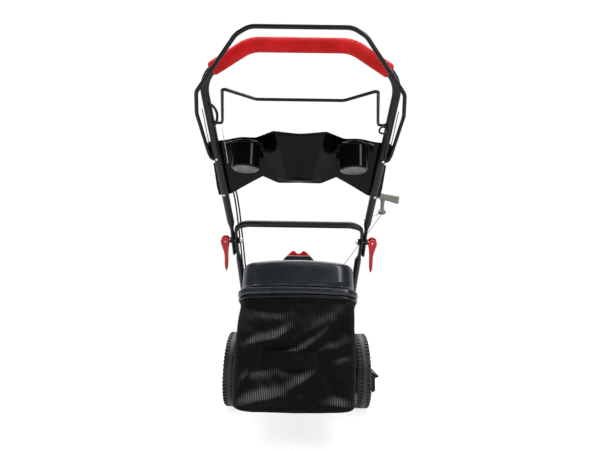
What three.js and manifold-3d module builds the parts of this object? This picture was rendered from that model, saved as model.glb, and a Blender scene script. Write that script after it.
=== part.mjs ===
// A rear-bagging petrol lawn mower with a folding handle, built as an assembly of separate pieces.
// Millimetres. X is to the operator's right, Y is forwards and Z is up. While it is built, the rear axle
// stands at y = 0 and the ground is z = 0; the last lines move the whole mower so that the centre of its
// footprint is the origin.

import * as THREE from "three";
import { mergeVertices } from "three/addons/utils/BufferGeometryUtils.js";
import Module from "manifold-3d";

const wasm = await Module();
wasm.setup();

const DEG = Math.PI / 180;
const GAP = 0.4; // between pieces that touch

// Driving dimensions.
const GROUND = { centreX: 43, centreY: -91.3 };
const REAR_WHEEL = { radius: 140, width: 50, innerX: 225, rim: 98, sides: 36 };
const FRONT_WHEEL = { radius: 100, width: 45, innerX: 224, rim: 68, sides: 28 };
const AXLE = { radius: 7.5, frontY: 600 };
const DECK = { half: 212, back: -75, front: 650, bottom: 55, top: 185, wall: 3, bulge: 245 };
const BLADE = { y: 300, radius: 230, z: 78 };
const TUNNEL = { half: 165, front: 150, floor: 160, top: 362, floorFront: 62 };
const DOOR = { half: 160, pivotY: -79, pivotZ: 369, length: 205, raised: 30, eye: 6.5, rod: 3, rodHalf: 173 };
const FLAP = { back: 165, front: 325, hingeX: 258, hingeZ: 140, eye: 6.5, rod: 3 };
const HANDLE = { y: 13, z: 235, slope: 44.37 * DEG, tube: 11, wall: 1.6 };
const LEG = { x: 191, top: 205, crossbar: 601, foot: -8 };
const JOINT = { along: 534, half: 213, pinX: 240, pin: 2.8, bolt: 3.8 };
// The tubes are pressed to half their width where they lie side by side at the joint.
const FLAT = { leg: 204.7, upper: 216.5, half: 5.5, share: 0.5 };
const GRIP = { along: 1125, radius: 17, halfTop: 122, endX: 218 };
const BEND = { x: 248, along: 1052, radius: 50 };
const BAIL = { along: 829, tilt: 12 * DEG, rod: 5 };
const LEVER = { along: 931, tilt: 46 * DEG, rod: 3.8 };
const BAG = { half: 175, back: -470, front: -92, floor: 104, wall: 3 };
const RIM = { backZ: 447, slope: 15 * DEG };
const LID = { half: 177, back: -470, top: 537, front: -152, frontZ: 388 };
const CUP = { x: 147, y: -618, radius: 38, wall: 3.5, bottom: 771, rim: 837 };
const GUIDE = { x: 263, along: 633, out: -24 };
const PULL = 64 * DEG; // slope of the starter pull above level

// ---------------------------------------------------------------- geometry helpers

function toSolid(geometry) {
  const bare = new THREE.BufferGeometry();
  const loose = geometry.index ? geometry.toNonIndexed() : geometry;
  bare.setAttribute("position", loose.getAttribute("position").clone());
  const merged = mergeVertices(bare, 1e-3);
  const mesh = new wasm.Mesh({
    numProp: 3,
    vertProperties: merged.getAttribute("position").array,
    triVerts: new Uint32Array(merged.index.array),
  });
  return new wasm.Manifold(mesh);
}

function toGeometry(solid) {
  const mesh = solid.getMesh();
  const geometry = new THREE.BufferGeometry();
  geometry.setAttribute("position", new THREE.BufferAttribute(mesh.vertProperties, 3));
  geometry.setIndex(new THREE.BufferAttribute(mesh.triVerts, 1));
  return geometry;
}

function join(...geometries) {
  return toGeometry(geometries.map(toSolid).reduce((whole, piece) => whole.add(piece)));
}

function cut(geometry, ...cutters) {
  return toGeometry(cutters.map(toSolid).reduce((left, tool) => left.subtract(tool), toSolid(geometry)));
}

function common(first, second) {
  return toGeometry(toSolid(first).intersect(toSolid(second)));
}

// A box from its low corner to its high corner.
function block(x0, x1, y0, y1, z0, z1) {
  const geometry = new THREE.BoxGeometry(x1 - x0, y1 - y0, z1 - z0);
  return geometry.translate((x0 + x1) / 2, (y0 + y1) / 2, (z0 + z1) / 2);
}

// A straight round bar between two points.
function bar(from, to, radius, sides = 12) {
  const start = new THREE.Vector3(...from);
  const end = new THREE.Vector3(...to);
  const geometry = new THREE.CylinderGeometry(radius, radius, start.distanceTo(end), sides);
  const direction = end.clone().sub(start).normalize();
  const turn = new THREE.Quaternion().setFromUnitVectors(new THREE.Vector3(0, 1, 0), direction);
  return geometry.applyQuaternion(turn).translate(...start.add(end).multiplyScalar(0.5).toArray());
}

// A turned piece about Z; the profile is a list of [radius, z], bottom first.
function turned(profile, sides) {
  const points = profile.map(([radius, z]) => new THREE.Vector2(radius, z));
  return new THREE.LatheGeometry(points, sides).rotateX(Math.PI / 2);
}

// A turned piece about X; the profile is a list of [radius, x], low x first.
function turnedAcross(profile, sides) {
  const points = profile.map(([radius, x]) => new THREE.Vector2(radius, x));
  return new THREE.LatheGeometry(points, sides).rotateZ(-Math.PI / 2);
}

// A flat outline of [x, y] points pushed from z0 to z1.
function slab(outline, z0, z1) {
  const shape = outline.isShape ? outline : new THREE.Shape(outline.map(([x, y]) => new THREE.Vector2(x, y)));
  const options = { depth: z1 - z0, bevelEnabled: false, curveSegments: 8 };
  return new THREE.ExtrudeGeometry(shape, options).translate(0, 0, z0);
}

// A side view of [y, z] points pushed from x0 to x1, with its ends rounded off by the given bevel.
function sideSlab(outline, x0, x1, bevel = 0, steps = 1) {
  const shape = new THREE.Shape(outline.map(([y, z]) => new THREE.Vector2(y, z)));
  const geometry = new THREE.ExtrudeGeometry(shape, {
    depth: x1 - x0 - 2 * bevel,
    bevelEnabled: bevel > 0,
    bevelThickness: bevel,
    bevelSize: bevel,
    bevelOffset: -bevel,
    bevelSegments: steps,
    curveSegments: 4,
  });
  geometry.translate(0, 0, x0 + bevel);
  // The outline's x becomes Y, its y becomes Z, and the push becomes X.
  return geometry.applyMatrix4(new THREE.Matrix4().set(0, 0, 1, 0, 1, 0, 0, 0, 0, 1, 0, 0, 0, 0, 0, 1));
}

// A path of straight runs and rounded corners. One sample stands at each end of a straight run.
class BentLine extends THREE.Curve {
  constructor(points) {
    super();
    this.points = points;
  }
  getPoint(t, target = new THREE.Vector3()) {
    const place = t * (this.points.length - 1);
    const index = Math.min(Math.floor(place), this.points.length - 2);
    return target.lerpVectors(this.points[index], this.points[index + 1], place - index);
  }
  getPointAt(u, target) {
    return this.getPoint(u, target);
  }
  getTangentAt(u, target = new THREE.Vector3()) {
    const index = Math.round(u * (this.points.length - 1));
    const here = this.points[index];
    const before = this.points[Math.max(index - 1, 0)];
    const after = this.points[Math.min(index + 1, this.points.length - 1)];
    const incoming = here.clone().sub(before).normalize();
    return target.copy(after).sub(here).normalize().add(incoming).normalize();
  }
  getSpacedPoints() {
    return this.points;
  }
}

// Rounds the corners of a list of points; radii holds one radius for each inner corner.
function rounded(corners, radii, stepAngle = 24 * DEG) {
  const path = [corners[0].clone()];
  for (let i = 1; i < corners.length - 1; i += 1) {
    const into = corners[i].clone().sub(corners[i - 1]).normalize();
    const out = corners[i + 1].clone().sub(corners[i]).normalize();
    const turn = into.angleTo(out);
    const reach = radii[i - 1] * Math.tan(turn / 2);
    const first = corners[i].clone().addScaledVector(into, -reach);
    const last = corners[i].clone().addScaledVector(out, reach);
    const inward = out.clone().sub(into).normalize();
    const centre = corners[i].clone().addScaledVector(inward, radii[i - 1] / Math.cos(turn / 2));
    const steps = Math.max(1, Math.ceil(turn / stepAngle));
    const axis = into.clone().cross(out).normalize();
    for (let k = 0; k <= steps; k += 1) {
      const arm = first.clone().sub(centre).applyAxisAngle(axis, (turn * k) / steps);
      path.push(k === steps ? last : centre.clone().add(arm));
    }
  }
  path.push(corners[corners.length - 1].clone());
  return path;
}

// A round bar, or a pipe if it has a bore, swept along a list of points.
function sweep(points, radius, sides = 10, bore = 0) {
  const shape = new THREE.Shape(ringPoints(radius, sides));
  if (bore > 0) {
    shape.holes.push(new THREE.Path(ringPoints(bore, sides).reverse()));
  }
  return new THREE.ExtrudeGeometry(shape, {
    steps: points.length - 1,
    extrudePath: new BentLine(points),
    curveSegments: 1,
  });
}

function ringPoints(radius, sides) {
  const angles = Array.from({ length: sides }, (_, k) => (2 * Math.PI * k) / sides);
  return angles.map((a) => new THREE.Vector2(radius * Math.cos(a), radius * Math.sin(a)));
}

// A smooth run through hand-placed points, for cables and ropes.
function cord(points, diameter, steps) {
  const curve = new THREE.CatmullRomCurve3(points.map((p) => (p.isVector3 ? p : new THREE.Vector3(...p))));
  return sweep(curve.getSpacedPoints(steps), diameter / 2, 8);
}

// Joins two outlines with the same number of points, one at each height, into a closed solid.
function loft(low, high, zLow, zHigh) {
  const n = low.length;
  const flat = [...low.map(([x, y]) => [x, y, zLow(x, y)]), ...high.map(([x, y]) => [x, y, zHigh(x, y)])];
  const geometry = new THREE.BufferGeometry();
  geometry.setAttribute("position", new THREE.Float32BufferAttribute(flat.flat(), 3));
  const index = [];
  const capOf = (outline) => THREE.ShapeUtils.triangulateShape(outline.map(([x, y]) => new THREE.Vector2(x, y)), []);
  capOf(low).forEach(([a, b, c]) => index.push(a, c, b));
  capOf(high).forEach(([a, b, c]) => index.push(n + a, n + b, n + c));
  for (let k = 0; k < n; k += 1) {
    const next = (k + 1) % n;
    index.push(k, next, n + next, k, n + next, n + k);
  }
  return geometry.setIndex(index);
}

function mirrored(points) {
  return [...points, ...points.filter(([x]) => x > 0).map(([x, y]) => [-x, y]).reverse()];
}

// ---------------------------------------------------------------- scene helpers

const mower = new THREE.Group();
const handle = new THREE.Group(); // its y runs up the handle and its z points down, away from the handle's top side
handle.position.set(0, HANDLE.y, HANDLE.z);
handle.rotation.x = Math.PI - HANDLE.slope;
handle.updateMatrix();
mower.add(handle);
const intoHandle = handle.matrix.clone().invert();

const PAINTS = {
  redPaint: [0xb51d1d, 0.3, 0.3],
  redRubber: [0xd8262b, 0.6, 0.0],
  redPlastic: [0xc8201f, 0.35, 0.0],
  blackPaint: [0x1c1c1e, 0.35, 0.4],
  blackGloss: [0x0c0c0e, 0.12, 0.0],
  blackPlastic: [0x161618, 0.55, 0.0],
  slatePlastic: [0x24282c, 0.35, 0.0],
  tyreRubber: [0x2b2d2f, 0.8, 0.0],
  mesh: [0x0e0e10, 0.9, 0.0],
  steel: [0xa9adb0, 0.3, 0.9],
  castAlloy: [0x9a9c9e, 0.5, 0.7],
  greyPlastic: [0x8d8f88, 0.45, 0.0],
  rope: [0x3a3a3a, 0.8, 0.0],
};

function add(name, geometry, paint, parent = mower) {
  const [color, roughness, metalness] = PAINTS[paint];
  const material = new THREE.MeshStandardMaterial({ color, roughness, metalness });
  const mesh = new THREE.Mesh(geometry, material);
  mesh.name = name;
  parent.add(mesh);
  return mesh;
}

// A point given by the handle's own directions: across, up along it, and out from its underside.
function onHandle(x, along, out) {
  const y = HANDLE.y - along * Math.cos(HANDLE.slope) - out * Math.sin(HANDLE.slope);
  const z = HANDLE.z + along * Math.sin(HANDLE.slope) - out * Math.cos(HANDLE.slope);
  return new THREE.Vector3(x, y, z);
}

const SIDES = [["left", -1], ["right", 1]];

// ---------------------------------------------------------------- deck

function deckOutline(inset) {
  const half = DECK.half - inset;
  const corner = 60 - inset;
  const bulge = DECK.bulge - inset;
  const meet = Math.acos(half / bulge);
  const front = DECK.front - inset;
  const shape = new THREE.Shape();
  shape.moveTo(-half, DECK.back + inset);
  shape.lineTo(half, DECK.back + inset);
  shape.absarc(0, BLADE.y, bulge, -meet, meet);
  shape.absarc(half - corner, front - corner, corner, 0, Math.PI / 2);
  shape.absarc(corner - half, front - corner, corner, Math.PI / 2, Math.PI);
  shape.absarc(0, BLADE.y, bulge, Math.PI - meet, Math.PI + meet);
  return shape;
}

function deckForm(inset, bottom) {
  const bevel = 14;
  const options = {
    depth: DECK.top - inset - bottom - 2 * bevel,
    bevelThickness: bevel,
    bevelSize: bevel,
    bevelOffset: -bevel,
    bevelSegments: 2,
    curveSegments: 6,
  };
  return new THREE.ExtrudeGeometry(deckOutline(inset), options).translate(0, 0, bottom + bevel);
}

function addDeck() {
  const t = DECK.wall;
  const far = 400;
  const shell = join(
    cut(deckForm(0, 0), block(-far, far, -far, 900, -50, DECK.bottom)),
    block(-TUNNEL.half, TUNNEL.half, DECK.back, TUNNEL.front, TUNNEL.floor, TUNNEL.top),
  );
  const inside = cut(deckForm(t, -40), block(-TUNNEL.half, TUNNEL.half, -90, TUNNEL.floorFront, TUNNEL.floor, 400));
  const tunnelBore = block(
    -TUNNEL.half + t, TUNNEL.half - t, DECK.back - 20, TUNNEL.front - t, TUNNEL.floor + t, TUNNEL.top - t,
  );
  const axleHoles = [0, AXLE.frontY].map((y) => {
    const z = y === 0 ? REAR_WHEEL.radius : FRONT_WHEEL.radius;
    return bar([-260, y, z], [260, y, z], AXLE.radius + 1, 16);
  });
  // Ears carry the rear door's rod above the tunnel and the side flap's rod beside the deck.
  const doorEars = [-150, -60, 60, 150].map((x) => join(
    bar([x - 4, DOOR.pivotY, DOOR.pivotZ], [x + 4, DOOR.pivotY, DOOR.pivotZ], 4.8, 12),
    block(x - 4, x + 4, DOOR.pivotY - 3, DECK.back + 5, TUNNEL.top - 2, DOOR.pivotZ - 1),
  ));
  const flapEars = [
    block(DECK.half - 1.5, FLAP.hingeX + 7, FLAP.back - 13, FLAP.back - 5, FLAP.hingeZ - 7, FLAP.hingeZ + 7),
    block(DECK.bulge - 4.5, FLAP.hingeX + 7, FLAP.front + 5, FLAP.front + 13, FLAP.hingeZ - 7, FLAP.hingeZ + 7),
  ];
  add("deck_shell", cut(
    join(cut(shell, inside, tunnelBore), ...doorEars, ...flapEars),
    bar([-200, DOOR.pivotY, DOOR.pivotZ], [200, DOOR.pivotY, DOOR.pivotZ], DOOR.rod + GAP, 12),
    bar([FLAP.hingeX, 0, FLAP.hingeZ], [FLAP.hingeX, 500, FLAP.hingeZ], FLAP.rod + GAP, 12),
    bar([0, BLADE.y, 100], [0, BLADE.y, 220], 18, 16),
    block(200, 260, 190, 300, 80, 130),
    bar([-186, 45, 150], [-186, 45, 220], 5, 8),
    ...axleHoles,
  ), "redPaint");
}

// ---------------------------------------------------------------- wheels and axles

function addWheel(name, wheel, side, y) {
  const group = new THREE.Group();
  group.position.set(side * (wheel.innerX + wheel.width / 2), y, wheel.radius);
  group.rotation.z = side > 0 ? 0 : Math.PI;
  mower.add(group);
  const w = wheel.width / 2;
  const flat = wheel.radius / Math.cos(Math.PI / wheel.sides); // so that the flats reach the ground
  const tyre = turnedAcross([
    [wheel.rim, -w + 3], [wheel.rim + 14, -w], [flat - 8, -w + 1], [flat, -w + 8],
    [flat, w - 8], [flat - 8, w - 1], [wheel.rim + 14, w], [wheel.rim, w - 3], [wheel.rim, -w + 3],
  ], wheel.sides).rotateX(Math.PI / wheel.sides);
  add(name + "_tyre", tyre, "tyreRubber", group);
  const seat = wheel.rim * Math.cos(Math.PI / wheel.sides) - GAP;
  const bore = AXLE.radius + 0.6;
  const rim = turnedAcross([
    [bore, -w + 1], [18, -w + 1], [20, -6], [seat - 12, -8], [seat - 6, -w + 4], [seat, -w + 4],
    [seat, w - 5], [seat - 5, w - 5], [seat - 14, 0], [30, 5], [22, w - 6], [bore, w - 6], [bore, -w + 1],
  ], 20);
  add(name + "_rim", rim, "blackPlastic", group);
}

function addAxles() {
  const rearEnd = REAR_WHEEL.innerX + REAR_WHEEL.width - 4;
  const frontEnd = FRONT_WHEEL.innerX + FRONT_WHEEL.width - 4;
  const rearZ = REAR_WHEEL.radius;
  const frontZ = FRONT_WHEEL.radius;
  add("rear_axle", bar([-rearEnd, 0, rearZ], [rearEnd, 0, rearZ], AXLE.radius, 12), "steel");
  add("front_axle", bar([-frontEnd, AXLE.frontY, frontZ], [frontEnd, AXLE.frontY, frontZ], AXLE.radius, 12), "steel");
}

// ---------------------------------------------------------------- drive

const PULLEY = { crank: 26, gearbox: 36, z: 142, gearboxY: 46 };

function pulley(radius) {
  return [[7.2, -8], [radius + 5, -8], [radius + 5, -6], [radius, -2], [radius, 2], [radius + 5, 6], [radius + 5, 8],
    [7.2, 8], [7.2, -8]];
}

function addDrive() {
  const housing = join(
    block(-32, 32, -26, 8, 114, 158),
    block(-26, 26, 5, 84, 98, 131),
    bar([0, PULLEY.gearboxY, 128], [0, PULLEY.gearboxY, 150], 6.4, 12),
  );
  add("gearbox", cut(housing, bar([-60, 0, REAR_WHEEL.radius], [60, 0, REAR_WHEEL.radius], AXLE.radius + 0.6, 16)),
    "castAlloy");
  const driven = turned(pulley(PULLEY.gearbox - 6), 16).translate(0, PULLEY.gearboxY, PULLEY.z);
  add("gearbox_pulley", driven, "steel");
  const run = BLADE.y - PULLEY.gearboxY;
  const outline = (grow) => {
    const small = PULLEY.gearbox - 6 + grow;
    const large = PULLEY.crank + grow;
    const lean = Math.asin((small - large) / run);
    const shape = new THREE.Shape();
    shape.absarc(0, PULLEY.gearboxY, small, Math.PI - lean, 2 * Math.PI + lean);
    shape.absarc(0, BLADE.y, large, lean, Math.PI - lean);
    return shape;
  };
  const belt = outline(5);
  belt.holes.push(new THREE.Path(outline(1).getPoints(10).reverse()));
  add("drive_belt", new THREE.ExtrudeGeometry(belt, { depth: 3, bevelEnabled: false, curveSegments: 10 })
    .translate(0, 0, PULLEY.z - 1.5), "rope");
}

// ---------------------------------------------------------------- engine

function addCrank() {
  const shaft = turned([
    [0, 76], [9, 76], [9, 116], [11.5, 116], [11.5, 268], [9, 272], [9, 312], [0, 312],
  ], 14).translate(0, BLADE.y, 0);
  add("crankshaft", shaft, "steel");
  const hub = turned([[9.5, 84], [24, 84], [24, 110], [9.5, 110], [9.5, 84]], 16).translate(0, BLADE.y, 0);
  add("blade_adapter", hub, "castAlloy");
  const outer = BLADE.radius;
  const blade = slab([
    [-outer, -20], [-outer + 90, -26], [outer - 90, -26], [outer, -20],
    [outer, 20], [outer - 90, 26], [-outer + 90, 26], [-outer, 20],
  ], BLADE.z, BLADE.z + 4).rotateZ(25 * DEG).translate(0, BLADE.y, 0);
  add("blade", cut(blade, bar([0, BLADE.y, 60], [0, BLADE.y, 100], 9.6, 12)), "steel");
  const bolt = turned([[0, 64], [15, 64], [15, 75], [0, 75]], 6).translate(0, BLADE.y, 0);
  add("blade_bolt", bolt, "steel");
  const lowPulley = pulley(PULLEY.crank).map(([r, z]) => [r < 8 ? 12 : r, z]);
  add("crank_pulley", turned(lowPulley, 16).translate(0, BLADE.y, PULLEY.z), "steel");
  const wheel = turned([
    [9.6, 274], [30, 274], [30, 282], [72, 282], [80, 290], [80, 306], [9.6, 306], [9.6, 274],
  ], 18).translate(0, BLADE.y, 0);
  add("flywheel", wheel, "castAlloy");
}

function addEngine() {
  const base = DECK.top + GAP;
  const y = BLADE.y;
  const fins = Array.from({ length: 5 }, (_, k) => block(-47, 47, y + 90 + 12 * k, y + 95 + 12 * k, base + 6, base + 74));
  const body = join(
    turned([[0, base], [84, base], [88, base + 8], [88, base + 66], [76, base + 80], [0, base + 80]], 24)
      .translate(0, y, 0),
    block(-38, 38, y + 60, y + 150, base + 12, base + 68),
    block(-47, 47, y + 148, y + 162, base + 6, base + 74),
    block(60, 110, y - 88, y - 62, base + 20, base + 40),
    block(-112, -40, y - 84, y - 66, base + 50, base + 65),
    bar([98, y - 76, base + 20], [98, y - 76, base + 92], 13, 12),
    ...fins,
  );
  const filler = bar([98, y - 76, base + 30], [98, y - 76, base + 120], 8, 12);
  add("engine_block", cut(body, bar([0, y, base - 10], [0, y, base + 120], 12.2, 16), filler), "castAlloy");

  const shroudLow = base + 84;
  const shroud = turned([
    [101, shroudLow], [104, shroudLow], [104, shroudLow + 32], [92, shroudLow + 50], [64, shroudLow + 56],
    [64, shroudLow + 53], [90, shroudLow + 47], [101, shroudLow + 31], [101, shroudLow],
  ], 22).translate(0, y, 0);
  add("blower_housing", shroud, "redPlastic");

  const slots = Array.from({ length: 6 }, (_, k) =>
    block(22, 50, -4, 4, 300, 400).rotateZ(k * 60 * DEG).translate(0, y, 0));
  const starter = turned([
    [60, shroudLow + 58], [74, shroudLow + 57], [74, shroudLow + 62], [64, shroudLow + 66], [60, shroudLow + 86],
    [48, shroudLow + 94], [0, shroudLow + 96], [0, shroudLow + 92], [46, shroudLow + 90], [57, shroudLow + 84],
    [60, shroudLow + 58],
  ], 20).translate(0, y, 0);
  const outlet = bar([20, y - 52, shroudLow + 76], [30, y - 78, shroudLow + 80], 9, 12);
  const outletBore = bar([14, y - 36, shroudLow + 74], [33, y - 86, shroudLow + 81], 3.4, 8);
  add("recoil_cover", cut(join(starter, cut(outlet, block(-60, 60, y - 55, y + 60, 300, 400))), ...slots, outletBore),
    "blackPlastic");

  const tankLow = base + 14;
  const tank = sideSlab([[y - 148, tankLow], [y - 92, tankLow], [y - 92, tankLow + 60], [y - 148, tankLow + 76]],
    -96, 50, 12, 2);
  add("fuel_tank", cut(join(tank, bar([-50, y - 120, tankLow + 40], [-50, y - 120, tankLow + 86], 20, 16)),
    bar([-50, y - 120, tankLow + 20], [-50, y - 120, tankLow + 100], 14, 12)), "blackPlastic");
  const capTop = tankLow + 86 + GAP;
  add("fuel_cap", turned([[0, capTop], [24, capTop], [24, capTop + 12], [20, capTop + 16], [0, capTop + 16]], 18)
    .translate(-50, y - 120, 0), "redPlastic");

  add("muffler", sideSlab([[y + 72, base + 12], [y + 142, base + 12], [y + 142, base + 66], [y + 72, base + 66]],
    -118, -49, 10, 2), "steel");
  const guard = cut(
    block(-127, -123, y + 62, y + 152, base + 6, base + 74),
    ...[0, 1, 2].map((k) => block(-140, -110, y + 74 + 24 * k, y + 86 + 24 * k, base + 18, base + 62)),
  );
  add("muffler_guard", guard, "steel");
  add("carburettor", join(
    block(50, 80, y + 88, y + 124, base + 22, base + 58),
    bar([65, y + 106, base + 8], [65, y + 106, base + 24], 14, 12),
  ), "castAlloy");
  add("air_filter_cover", sideSlab([[y + 64, base + 8], [y + 148, base + 8], [y + 148, base + 82], [y + 64, base + 82]],
    81, 132, 12, 2), "blackPlastic");
  add("spark_plug", bar([0, y + 162 + GAP, base + 40], [0, y + 200, base + 40], 9, 10), "blackPlastic");

  const neck = base + 92 + GAP;
  add("dipstick", join(
    turned([[0, neck], [15, neck], [15, neck + 10], [0, neck + 12]], 14).translate(98, y - 76, 0),
    bar([98, y - 76, base + 34], [98, y - 76, neck + 4], 4, 8),
  ), "redPlastic");
}

// ---------------------------------------------------------------- deck fittings

function addDoor() {
  const rodY = DOOR.pivotY;
  const rodZ = DOOR.pivotZ;
  add("door_rod", bar([-DOOR.rodHalf, rodY, rodZ], [DOOR.rodHalf, rodY, rodZ], DOOR.rod, 10), "steel");
  const eyes = [-105, 0, 105].map((x) => bar([x - 14, 0, 0], [x + 14, 0, 0], DOOR.eye, 12));
  const panel = block(-DOOR.half, DOOR.half, -8, -5, -DOOR.length, 4);
  const ribs = [-80, 80].map((x) => block(x - 2, x + 2, -14, -7, -DOOR.length + 12, -12));
  const lip = block(-DOOR.half, DOOR.half, -16, -5, -DOOR.length - 3, -DOOR.length + 1);
  const bore = bar([-200, 0, 0], [200, 0, 0], DOOR.rod + GAP, 12);
  const door = cut(join(panel, lip, ...eyes, ...ribs), bore);
  door.rotateX(-(90 * DEG + DOOR.raised * DEG)).translate(0, rodY, rodZ);
  add("rear_door", door, "blackPlastic");

  const shield = block(-150, 150, DECK.back - 6, DECK.back - GAP, 22, 104);
  add("trail_shield", shield, "tyreRubber");
}

function addSideFlap() {
  const x = FLAP.hingeX;
  const z = FLAP.hingeZ;
  const length = FLAP.front - FLAP.back;
  const outline = new THREE.Shape([
    [x - 4, z - 4], [x + 4, z + 5], [330, 100], [361, 85], [361, 81], [344, 74], [344, 24], [332, 15],
    [329, 17], [339, 28], [339, 78], [328, 92], [x + 4, z - 8],
  ].map(([a, b]) => new THREE.Vector2(a, b)));
  const skin = new THREE.ExtrudeGeometry(outline, { depth: length, bevelEnabled: false });
  const cheek = new THREE.Shape([
    [x + 3, z - 4], [329, 92], [340, 78], [340, 27], [330, 17], [300, 40], [x + 16, 96],
  ].map(([a, b]) => new THREE.Vector2(a, b)));
  const cheeks = [0, length - 3].map((start) =>
    new THREE.ExtrudeGeometry(cheek, { depth: 3, bevelEnabled: false }).translate(0, 0, start));
  const eye = bar([x, z, 0], [x, z, length], FLAP.eye, 12);
  const flap = cut(join(skin, eye, ...cheeks), bar([x, z, -10], [x, z, length + 10], FLAP.rod + GAP, 12));
  // The outline's x stays X, its y becomes Z, and the push runs back along Y.
  flap.applyMatrix4(new THREE.Matrix4().set(1, 0, 0, 0, 0, 0, -1, FLAP.front, 0, 1, 0, 0, 0, 0, 0, 1));
  add("side_flap", flap, "blackPlastic");
  add("flap_rod", bar([x, FLAP.back - 16, z], [x, FLAP.front + 16, z], FLAP.rod, 10), "steel");
}

function addHeightAdjuster() {
  const x = -199;
  const y = 112;
  const low = DECK.top + GAP;
  const arc = Array.from({ length: 9 }, (_, k) => (140 - 12.5 * k) * DEG);
  const sector = arc.map((a) => [y + 62 * Math.cos(a), low + 62 * Math.sin(a)]).reverse();
  const plate = sideSlab([[y - 34, low], [y + 34, low], ...sector], x, x + 3);
  const pivot = low + 14;
  add("height_quadrant", cut(plate, bar([x - 20, y, pivot], [x + 20, y, pivot], 4.6, 10)), "steel");
  add("height_lever", join(
    block(x - 7, x - 3, y - 6, y + 6, pivot - 8, low + 74),
    bar([x - 5, y, low + 70], [x - 5, y, low + 94], 7, 10),
    bar([x - 5, y, pivot], [x + 6, y, pivot], 4, 10),
  ), "blackPlastic");
}

function addBrackets() {
  for (const [name, side] of SIDES) {
    const outer = LEG.x + HANDLE.tube + 2;
    const outline = [[-28, DECK.top + GAP], [50, DECK.top + GAP], [40, 232], [12, 262], [-14, 262], [-28, 236]];
    const cheek = sideSlab(outline, outer, outer + 3);
    const foot = block(170, outer + 2, -28, 36, DECK.top + GAP, DECK.top + 4);
    const bracket = join(cheek, foot);
    if (side < 0) {
      bracket.rotateZ(Math.PI).translate(0, 8, 0);
    }
    add("handle_bracket_" + name, bracket, "blackPaint");
  }
}

// ---------------------------------------------------------------- handle

// The list runs from the middle outwards, so the mirror image is put in front of it.
function symmetricPath(points, radii) {
  const right = points.map(([x, y]) => new THREE.Vector3(x, y, 0));
  const left = points.map(([x, y]) => new THREE.Vector3(-x, y, 0)).reverse();
  return rounded([...left, ...right], [...radii].reverse().concat(radii));
}

const FLARE = { along: 995, half: 246 };

function tubeHalf(along) {
  const share = (along - JOINT.along) / (FLARE.along - JOINT.along);
  return Math.max(JOINT.half, JOINT.half + (FLARE.half - JOINT.half) * share);
}

function legHalf(along) {
  return LEG.x + ((LEG.top - LEG.x) * (along - LEG.foot)) / (LEG.crossbar - LEG.foot);
}

// Adds a point wherever the path crosses one of the heights, so that its section can change there.
function split(path, heights) {
  const out = [path[0]];
  for (let i = 1; i < path.length; i += 1) {
    const [a, b] = [path[i - 1], path[i]];
    const crossed = heights.filter((h) => (h - a.y) * (h - b.y) < 0);
    crossed.sort((p, q) => Math.abs(p - a.y) - Math.abs(q - a.y));
    out.push(...crossed.map((h) => a.clone().lerp(b, (h - a.y) / (b.y - a.y))), b);
  }
  return out;
}

// Presses both legs of a tube flat between the two middle heights and back to round at the outer two.
function flattened(geometry, centre, target, [start, low, high, end]) {
  const at = geometry.getAttribute("position");
  const step = THREE.MathUtils.smoothstep;
  for (let i = 0; i < at.count; i += 1) {
    const [x, y] = [at.getX(i), at.getY(i)];
    const weight = step(y, start, low) * (1 - step(y, high, end)) * step(Math.abs(x), 165, 185);
    const pressed = target + (Math.abs(x) - centre(y)) * FLAT.share;
    at.setX(i, x + weight * (Math.sign(x) * pressed - x));
  }
  return geometry;
}

function addHandle() {
  const bore = HANDLE.tube - HANDLE.wall;
  const legZone = [438, 464, 578, 598];
  const legPath = symmetricPath([[LEG.top, LEG.crossbar], [LEG.x, LEG.foot]], [45]);
  const lower = sweep(split(legPath, [...legZone, 451, 500]), HANDLE.tube, 10, bore);
  const holes = (x) => bar([x - 40, JOINT.along, 0], [x + 40, JOINT.along, 0], 4.6, 10);
  const lowerTube = flattened(lower, legHalf, FLAT.leg, legZone);
  add("lower_handle", cut(lowerTube, holes(FLAT.leg), holes(-FLAT.leg)), "blackPaint", handle);

  const upperZone = [440, 460, 604, 650];
  const foot = [[JOINT.half, JOINT.along + 16], [JOINT.half, 479]];
  const top = symmetricPath([[GRIP.halfTop, GRIP.along], [BEND.x, BEND.along], ...foot], [70, BEND.radius, 200]);
  const upper = sweep(split(top, [650, 627, 604, 510]), HANDLE.tube, 10, bore);
  const upperTube = flattened(upper, tubeHalf, FLAT.upper, upperZone);
  add("upper_handle", cut(upperTube, holes(FLAT.upper), holes(-FLAT.upper)), "blackPaint", handle);

  const slope = (GRIP.along - BEND.along) / (BEND.x - GRIP.halfTop);
  const gripEnd = [GRIP.endX, GRIP.along - slope * (GRIP.endX - GRIP.halfTop)];
  const gripPath = symmetricPath([[GRIP.halfTop, GRIP.along], gripEnd], [70]);
  add("grip", sweep(gripPath, GRIP.radius, 10, HANDLE.tube + 1.2), "redRubber", handle);
}

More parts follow.
